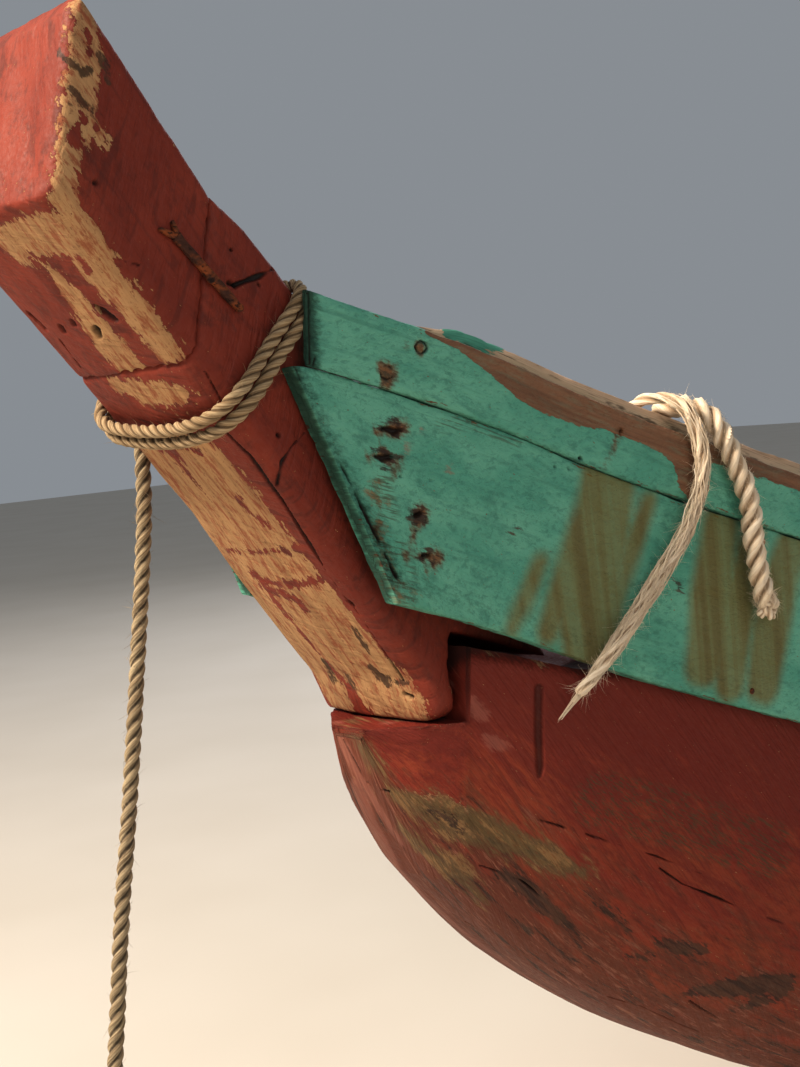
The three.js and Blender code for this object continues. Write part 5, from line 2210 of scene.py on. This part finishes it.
# Hands and ropes have rubbed the top arris bare: distance, drop and radius
RUBBED = np.array([
    (3250, 1, 3), (3150, 7, 9), (3050, 8, 11), (2950, 9, 13), (2850, 8, 12), (2700, 7, 11),
    (2500, 4, 8), (2300, 2, 3)], float)
UP_MARKS.append(stroke(Wear.BARE, RUBBED[:, 0], top_y(RUBBED[:, 0]),
                       top_z(RUBBED[:, 0]) - RUBBED[:, 1], RUBBED[:, 2]))
LOW_MARKS = strokes({
    Wear.IRON: (
        ((3331, 149, 1247, 3.2), (3313, 153, 1247, 9.7), (3301, 157, 1249, 5.4)),
        ((3340, 146, 1222, 3.2), (3324, 150, 1221, 9.6), (3311, 154, 1213, 5.4),
         (3313, 153, 1199, 4.3)),
        ((3290, 159, 1153, 9.8), (3299, 157, 1132, 5.4), (3306, 155, 1111, 4.3)),
        ((3300, 157, 1109, 4.3), (3285, 161, 1106, 8.7), (3273, 164, 1104, 5.5),
         (3288, 160, 1087, 4.4))),
    Wear.HOLE: (
        ((3322, 151, 1250, 2.7), (3310, 154, 1246, 4.3), (3301, 157, 1247, 2.2)),
        ((3334, 148, 1221, 2.1), (3325, 150, 1218, 4.3), (3317, 152, 1219, 2.7)),
        ((3308, 155, 1197, 1.3),),
        ((3273, 164, 1189, 1.3),),
        ((3323, 151, 1191, 1.1),),
        ((3294, 159, 1153, 2.8), (3288, 160, 1155, 2.4)),
        ((3289, 160, 1108, 2.6), (3282, 162, 1108, 2)),
        ((3121, 205, 1188, 1.1),),
        ((3103, 210, 1184, 1.1),)),
    Wear.PINK: (
        ((3279, 162, 1244, 3.8),),
        ((3297, 158, 1226, 3.8),),
        ((3250, 170, 1200, 3.3),)),
    Wear.SCRATCH: (
        ((3321, 151, 1209, 10.7), (3332, 148, 1185, 12.9), (3323, 151, 1160, 10.8),
         (3336, 147, 1151, 6.4)),
        ((3344, 146, 1132, 12.8), (3322, 151, 1116, 17.2), (3318, 152, 1091, 19.4),
         (3311, 154, 1069, 13)),
        ((3256, 168, 1248, 6.5), (3220, 178, 1250, 9.9), (3162, 194, 1220, 6.7))),
    Wear.DARK: (
        ((3300, 157, 1154, 3.8), (3291, 159, 1162, 3.8), (3283, 161, 1152, 3.8),
         (3292, 159, 1145, 3.8), (3300, 157, 1154, 3.8)),
        ((3293, 159, 1107, 3.3), (3284, 161, 1112, 3.3), (3275, 164, 1104, 3.3)),
        ((3326, 150, 1253, 3.2), (3312, 154, 1256, 3.2), (3299, 157, 1248, 3.2),
         (3313, 153, 1240, 3.2)),
        ((3335, 147, 1226, 3.2), (3324, 151, 1227, 3.2), (3311, 154, 1218, 3.2),
         (3324, 150, 1210, 3.2)),
        ((3186, 187, 1121, 1.1), (3173, 191, 1122, 1.7), (3166, 193, 1122, 1.1)),
        ((2973, 245, 1039, 2.4), (2969, 246, 1024, 2.4))),
    Wear.STAIN: (
        ((3336, 147, 1196, 1), (3336, 147, 1153, 4), (3346, 143, 1124, 3), (3328, 149, 1087, 5),
         (3309, 154, 1065, 2)),),
    Wear.RUST: (
        ((3054, 223, 1170, 34), (3076, 217, 1085, 38), (3097, 212, 1005, 34),
         (3105, 210, 955, 20)),
        ((3072, 218, 1170, 12), (3108, 209, 1080, 15), (3146, 198, 1003, 10)),
        ((3000, 237, 1137, 7.7), (3035, 228, 1071, 10.5), (3078, 216, 966, 9)),
        ((2905, 264, 1098, 24), (2925, 258, 1010, 31), (2945, 253, 930, 24)),
        ((2860, 276, 1080, 16), (2884, 269, 1004, 24), (2908, 263, 905, 20)),
        ((2808, 289, 1058, 22), (2834, 282, 990, 30), (2860, 276, 895, 24)),
        ((3148, 198, 1085, 4.4), (3179, 189, 1033, 8.7), (3191, 186, 1012, 5.9))),
})
RAIL_MARKS = strokes({
    Wear.TEAL: (
        ((3212, 158, 1351, 14.4), (3183, 166, 1340, 13.4), (3164, 171, 1328, 10.1)),),
})
HULL_MARKS = strokes({
    Wear.PINK: (
        ((3206, 81, 935, 7), (3206, 122, 927, 8.1), (3193, 130, 909, 5.8)),
        ((3191, 128, 882, 4.6), (3183, 132, 874, 9.3), (3169, 140, 867, 4.7)),
        ((3282, -33, 903, 7.2), (3289, -12, 875, 8.3), (3276, -4, 832, 7.2), (3258, 3, 792, 7.2),
         (3236, 8, 750, 6)),
        ((3270, -21, 818, 13), (3244, -33, 767, 15), (3211, -42, 713, 13), (3162, -52, 655, 12),
         (3121, -38, 604, 10), (3066, -26, 549, 8), (2988, -28, 483, 6)),
        ((3206, 89, 938, 10.5), (3206, 108, 928, 11.6), (3193, 130, 909, 6.9))),
    Wear.GROOVE: (
        ((3135, 165, 933, 5.2), (3136, 160, 883, 5.2), (3135, 156, 837, 4.7),
         (3135, 154, 828, 2.3)),),
    Wear.STAIN: (
        ((3266, -25, 903, 7.2), (3290, 21, 879, 11.7), (3282, 33, 855, 9.4)),
        ((3268, 41, 822, 8.2), (3249, 69, 807, 18.7), (3216, 94, 783, 25.7),
         (3171, 122, 755, 23.5), (3123, 147, 725, 19), (3085, 165, 699, 10.8)),
        ((3248, 25, 771, 11.9), (3210, 66, 721, 16.7), (3171, 70, 672, 12.1))),
    Wear.BARE: (
        ((3269, 42, 824, 2.3), (3246, 75, 814, 7), (3224, 92, 804, 8.2), (3175, 120, 763, 9.4),
         (3133, 141, 729, 10.7), (3101, 158, 711, 6)),),
    Wear.DARK: (
        ((3241, 75, 799, 3.5), (3223, 89, 789, 4.7), (3214, 94, 773, 3.5)),
        ((3169, 108, 713, 5.9), (3148, 119, 695, 10.7), (3126, 124, 670, 12),
         (3100, 133, 642, 7.2)),
        ((3069, 163, 656, 3.6), (3056, 168, 649, 6), (3044, 173, 641, 3.6)),
        ((3038, 173, 629, 2.4), (3024, 175, 613, 3.7)),
        ((2992, 186, 593, 5), (2960, 197, 577, 10), (2932, 210, 570, 8)),
        ((2923, 179, 503, 10), (2894, 201, 504, 16), (2860, 219, 503, 17), (2809, 236, 490, 15)),
        ((2859, 194, 464, 5.2), (2836, 217, 473, 10.3), (2808, 228, 472, 5.2)),
        ((3135, 90, 641, 3.6), (3116, 95, 621, 4.9)),
        ((3077, 105, 584, 2.5), (3060, 112, 572, 3.7)),
        ((3015, 159, 574, 3.7), (2992, 176, 571, 4.9))),
    Wear.SCRATCH: (
        ((3068, 184, 787, 35.6), (2965, 217, 742, 36.5), (2839, 252, 678, 37.7)),),
    Wear.CRACK: (
        ((3140, 143, 776, 0.1), (3112, 158, 762, 0.3), (3073, 175, 742, 0.6),
         (3037, 189, 724, 0.1), (2997, 203, 703, 0.6), (2936, 222, 668, 0.1),
         (2870, 239, 622, 0.4), (2795, 254, 571, 0.2)),
        ((2993, 203, 687, 0.1), (2965, 211, 662, 0.6), (2920, 225, 635, 0.7),
         (2871, 238, 605, 0.2), (2795, 254, 564, 0.7)),
        ((3140, -4, 623, 0.6), (3104, 55, 589, 0.8), (3052, 85, 548, 1), (3006, 90, 509, 1.1),
         (2955, 120, 480, 0.7), (2883, 133, 431, 1), (2785, 154, 377, 0.7)),
        ((3292, -12, 885, 1), (3286, -7, 865, 1.3), (3276, 4, 832, 1.3), (3270, 37, 824, 0.6)),
        ((3188, 95, 723, 0.5), (3150, 121, 700, 0.7), (3120, 130, 669, 0.7)),
        ((2918, 170, 486, 0.7), (2863, 172, 444, 0.7), (2772, 214, 421, 0.7))),
})


# ------------------------------------------------------------------ studio


@dataclass
class Studio:
    """Camera at the viewing angle, pale floor and soft light."""

    place: Point = (4.351, 1.389, 1.267)
    heading: float = 40.0
    level: tuple[float, float] = (389.1, 411.9)   # pixel that looks level along the heading
    middle: tuple[float, float] = (400.0, 533.5)
    focus: float = 1500.0                         # focal length in pixels of 800 x 1067
    horizon: tuple[float, float] = (800.0, -72.0)

    def camera(self) -> None:
        """Adds the camera."""
        heading = math.radians(self.heading)
        off = math.hypot(self.middle[0] - self.level[0], self.middle[1] - self.level[1])
        pitch = math.atan2(off, self.focus)
        roll = math.atan2(-self.horizon[1], self.horizon[0])
        flat = Vector((-math.sin(heading), -math.cos(heading), 0))
        right = flat.cross(Vector((0, 0, 1))).normalized()
        ahead = flat * math.cos(pitch) - Vector((0, 0, 1)) * math.sin(pitch)
        up = right.cross(ahead)
        side = right * math.cos(roll) - up * math.sin(roll)
        over = right * math.sin(roll) + up * math.cos(roll)
        data = bpy.data.cameras.new("camera")
        data.sensor_fit = "VERTICAL"
        data.sensor_height = 36
        data.lens = 36 * self.focus / 1067
        made = bpy.data.objects.new("camera", data)
        turn = Matrix((side, over, -ahead)).transposed()
        made.matrix_world = Matrix.Translation(self.place) @ turn.to_4x4()
        bpy.context.scene.collection.objects.link(made)
        bpy.context.scene.camera = made

    def floor(self) -> None:
        """Adds the floor."""
        work = bmesh.new()
        bmesh.ops.create_grid(work, x_segments=2, y_segments=2, size=30)
        mesh = bpy.data.meshes.new("floor")
        work.to_mesh(mesh)
        work.free()
        mesh.materials.append(FloorScreed().material())
        made = bpy.data.objects.new("floor", mesh)
        bpy.context.scene.collection.objects.link(made)

    @staticmethod
    def lamp(name: str, place: Point, target: Point, size: float, power: float,
             colour: str) -> None:
        """Adds one soft light.

        Args:
            name: its name.
            place: where it stands, in metres.
            target: what it points at.
            size: side of its square in metres.
            power: watts.
            colour: sRGB hex.
        """
        data = bpy.data.lights.new(name, "AREA")
        data.shape = "SQUARE"
        data.size = size
        data.energy = power
        data.color = linear(colour)[:3]
        made = bpy.data.objects.new(name, data)
        turn = (Vector(target) - Vector(place)).to_track_quat("-Z", "Y")
        made.matrix_world = Matrix.Translation(place) @ turn.to_matrix().to_4x4()
        bpy.context.scene.collection.objects.link(made)

    def lights(self) -> None:
        """Adds the lights and the sky's even glow."""
        world = bpy.data.worlds.new("studio")
        world.use_nodes = True
        world.node_tree.nodes.clear()
        glow = node(world.node_tree, "ShaderNodeBackground", {
            "Color": linear("dfe6ee"), "Strength": 0.32})
        node(world.node_tree, "ShaderNodeOutputWorld", {"Surface": glow.outputs[0]})
        bpy.context.scene.world = world
        bpy.context.scene.view_settings.view_transform = "Standard"
        bpy.context.scene.view_settings.gamma = 0.87
        bpy.context.scene.view_settings.exposure = 0.32
        self.lamp("key", (7.4, -1.3, 5.2), (3.2, 0, 1.1), 1.4, 620, "fff0dc")
        self.lamp("fill", (4.6, 5.2, 3.4), (3.1, 0.2, 0.9), 3.4, 62, "fff6ec")
        self.lamp("back", (-3.5, -4.5, 5.5), (0, 0, 0.6), 4.0, 260, "f4f7ff")


# ------------------------------------------------------------------ canoe


HULL_LEVELS = 40                 # steps of height that the log's wear is placed by


def on_side(marks: list[Mark], side: int) -> list[Mark]:
    """Marks of the port bow for one side; to starboard they sit elsewhere."""
    return marks if side > 0 else shifted(marks, (1, -1, 1), 31)


def spread_wear(seed: int, kind: Wear, count: int, reach: tuple[float, float], side: int,
                drop: tuple[float, float], long: tuple[float, float],
                radius: tuple[float, float]) -> list[Mark]:
    """Strokes of wear scattered along a side, with the grain.

    Args:
        seed: picks one of many patterns.
        kind: what they do.
        count: how many.
        reach: from and to along X.
        side: 1 to port, -1 to starboard.
        drop: how far below the sheer, from and to.
        long: shortest and longest.
        radius: thinnest and widest.

    Returns:
        The marks.
    """
    rng = np.random.default_rng(seed)
    marks = []
    for _ in range(count):
        x0, size, level, r = (rng.uniform(*span) for span in (reach, long, drop, radius))
        x = x0 + size * np.linspace(0, 1, 5)
        z = top_z(x) - level + rng.normal(0, r * 0.5, 5)
        marks.append(stroke(kind, x, side * (top_y(x) - PROUD), z,
                            r * np.array([0.4, 0.9, 1, 0.8, 0.3])))
    return marks


LOG_REACH = (-3100, 2450)        # strokes on the log start between these, along X


def hull_wear(seed: int, kind: Wear, count: int, side: int, level: tuple[float, float],
              long: tuple[float, float], radius: tuple[float, float]) -> list[Mark]:
    """Strokes of wear scattered along the log's outside, with the grain.

    Args:
        seed: picks one of many patterns.
        kind: what they do.
        count: how many.
        side: 1 to port, -1 to starboard.
        level: height between the keel, 0, and the edge, 1, from and to.
        long: shortest and longest.
        radius: thinnest and widest.

    Returns:
        The marks.
    """
    rng = np.random.default_rng(seed)
    marks = []
    for _ in range(count):
        x0, size, r, share = (rng.uniform(*span) for span in (LOG_REACH, long, radius, level))
        x = x0 + size * np.linspace(0, 1, 6)
        half = Dugout.spread(Dugout(None).outer(x), HULL_LEVELS + 1)
        at = np.clip(share * HULL_LEVELS + rng.normal(0, 0.6, 6), 0, HULL_LEVELS).astype(int)
        y, z = half[np.arange(6), at].T
        marks.append(stroke(kind, x, side * y, z, r * np.array([0.4, 0.9, 1, 1, 0.8, 0.3])))
    return marks


@dataclass
class Canoe:
    """The whole boat and the order that it is built in."""

    def wear_of_log(self) -> list[Mark]:
        """All wear on the dugout.

        Returns:
            The marks.
        """
        marks = list(HULL_MARKS)
        end = Dugout.body_end
        rim = np.linspace(400, end, 23)
        top = np.array([2975.0, 3040, 3110, 3175, 3204])
        for sign in (1, -1):
            # Painted shade on the notch's wall, along the rim under the planks and on the solid
            # end's top between them
            marks += [stroke(Wear.DIRT_AND_SHADE, end * sign, y, (912, 1080), 36) for y in (-40, 40)]
            marks += [stroke(Wear.DIRT_AND_SHADE, rim * sign, (edge_y(rim) - 9) * side, edge_z(rim) + 6, 15)
                      for side in (1, -1)]
            marks += [stroke(Wear.DIRT_AND_SHADE, top * sign, edge_y(top) * share, edge_z(top), size)
                      for share, size in ((-0.75, 26), (0, 34), (0.75, 26))]
        marks += shifted(HULL_MARKS, (1, -1, 1), 26, Wear.GROOVE)
        marks += shifted(HULL_MARKS, (-1, 1, 1), 14, Wear.GROOVE, Wear.CRACK)
        marks += shifted(HULL_MARKS, (-1, -1, 1), 33, Wear.GROOVE, Wear.CRACK)
        for side in (1, -1):
            for seed, kind, count, level, long, radius in (
                    (50, Wear.DARK, 26, (0.1, 0.55), (60, 320), (3, 12)),
                    (60, Wear.BARE, 16, (0.0, 0.35), (120, 520), (4, 14)),
                    (70, Wear.CRACK, 9, (0.3, 0.9), (240, 620), (0.8, 1.8)),
                    (80, Wear.STAIN, 12, (0.15, 0.6), (140, 420), (10, 24)),
                    (90, Wear.PINK, 9, (0.6, 0.95), (20, 70), (3, 7))):
                marks += hull_wear(seed + side, kind, count, side, level, long, radius)
        return marks

    def wear_of_strake(self, own: list[Mark], side: int, drops: tuple[float, float],
                       seed: int) -> list[Mark]:
        """All wear on one plank.

        Args:
            own: marks of its port bow.
            side: 1 to port, -1 to starboard.
            drops: its top and bottom below the sheer.
            seed: picks one of many patterns.

        Returns:
            The marks.
        """
        marks = on_side(own, side) + shifted(own, (-1, side, 1), 19, Wear.SCRATCH)
        marks += spread_wear(seed, Wear.RUST, 26, (-2900, 2700), side, drops, (10, 40), (5, 12))
        marks += spread_wear(seed + 1, Wear.BARE, 10, (-2900, 2500), side,
                             (drops[0], drops[0] + 20), (60, 300), (4, 11))
        marks += spread_wear(seed + 2, Wear.DARK, 10, (-2900, 2600), side, drops, (15, 80), (1, 3))
        return marks

    def build(self) -> None:
        """Builds the canoe, sub-assembly by sub-assembly."""
        red = LogPaint("oil_paint_on_hewn_mango", paint="822c18", faded="8c3b1e", deep="51170b",
                       wood="a98562", wood_deep="6f4b34", loss=0.74, chalk=0.36).material()
        prow = PaintedTimber("oil_paint_on_prow_block", paint="742817", faded="84331f",
                             deep="4d180d", wood="b38d64", wood_deep="8d6848", loss=0.77).material()
        teal = PaintedTimber(
            "oil_paint_on_sawn_plank", paint="529a86", faded="68ab95", deep="3b7a6b",
            wood="84614a", wood_deep="5f4536", sliver_long=30, sliver_wide=6, patch=70,
            score_long=120, score_wide=5, loss=0.75, ragged=0.3, haze=0.12, rough=0.6).material()
        wale = BareTimber("sun_bleached_wale", sunny="c8ac92", warm="ac8c70", grey="a69a8e",
                          deep="5b4030").material()
        sawn = BareTimber("oiled_sawn_plank", sunny="8f6c4c", warm="6f4c33",
                          grey="7b6e62").material()
        pole = BareTimber("debarked_pole", sunny="a48663", warm="84654a", grey="93897c").material()
        hemp = LaidRope("sisal_rope", crest="b4a385", body="87745a", lay="43372a").material()
        turns = LaidRope("weathered_sisal_rope", crest="b6a181", body="8f7758").material()
        # Paler rope for the loose ends: bleached, and painted light for the sun on them
        bleached = LaidRope("sisal_rope_bleached_and_painted_sunlit", crest="f0e3cf", body="e6d3b8",
                            lay="b3987b").material()
        iron = ForgedIron("forged_iron_rusted").material()
        Studio().camera()
        rig = Rigging(hemp, turns, bleached)
        rig.build()
        Dugout(red).build(self.wear_of_log())
        Prow(prow, iron).build(HEAD_MARKS, NECK_MARKS)
        flat = Hewing(0.9, 420, 120, 0.3, 70, 16, 1.5, 51)
        for side, label in ((1, "port"), (-1, "starboard")):
            lower = Strake(f"washstrake_lower_{label}", side, 3418, 89, PROUD, PROUD + LOWER_THICK,
                           UPPER_HEIGHT + 0.4, UPPER_HEIGHT + LOWER_HEIGHT, 34)
            lower.build(teal, "teal_paint", self.wear_of_strake(
                LOW_MARKS, side, (90, 300), 200 + side), flat)
            upper = Strake(f"washstrake_upper_{label}", side, 3396, -6, 0, UPPER_THICK, 0,
                           UPPER_HEIGHT, 13, tip=8)
            upper.build(teal, "teal_paint", self.wear_of_strake(
                UP_MARKS, side, (4, 70), 300 + side), flat)
            rail = Rail(f"rail_{label}", side, 3285, 0, 0, 35, 0, 61, 9)
            rail.build(wale, "weathered_wood", on_side(RAIL_MARKS, side),
                       Hewing(1.1, 200, 50, 0.5, 60, 12, 2.4, 61))
            Fastenings(iron).build(side, label)
        Timbers(sawn, pole).build()
        Studio().floor()
        Studio().lights()


def main() -> None:
    """Builds everything."""
    logging.basicConfig(level=logging.INFO, format="%(message)s")
    Canoe().build()
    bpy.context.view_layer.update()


if __name__ == "__main__":
    main()
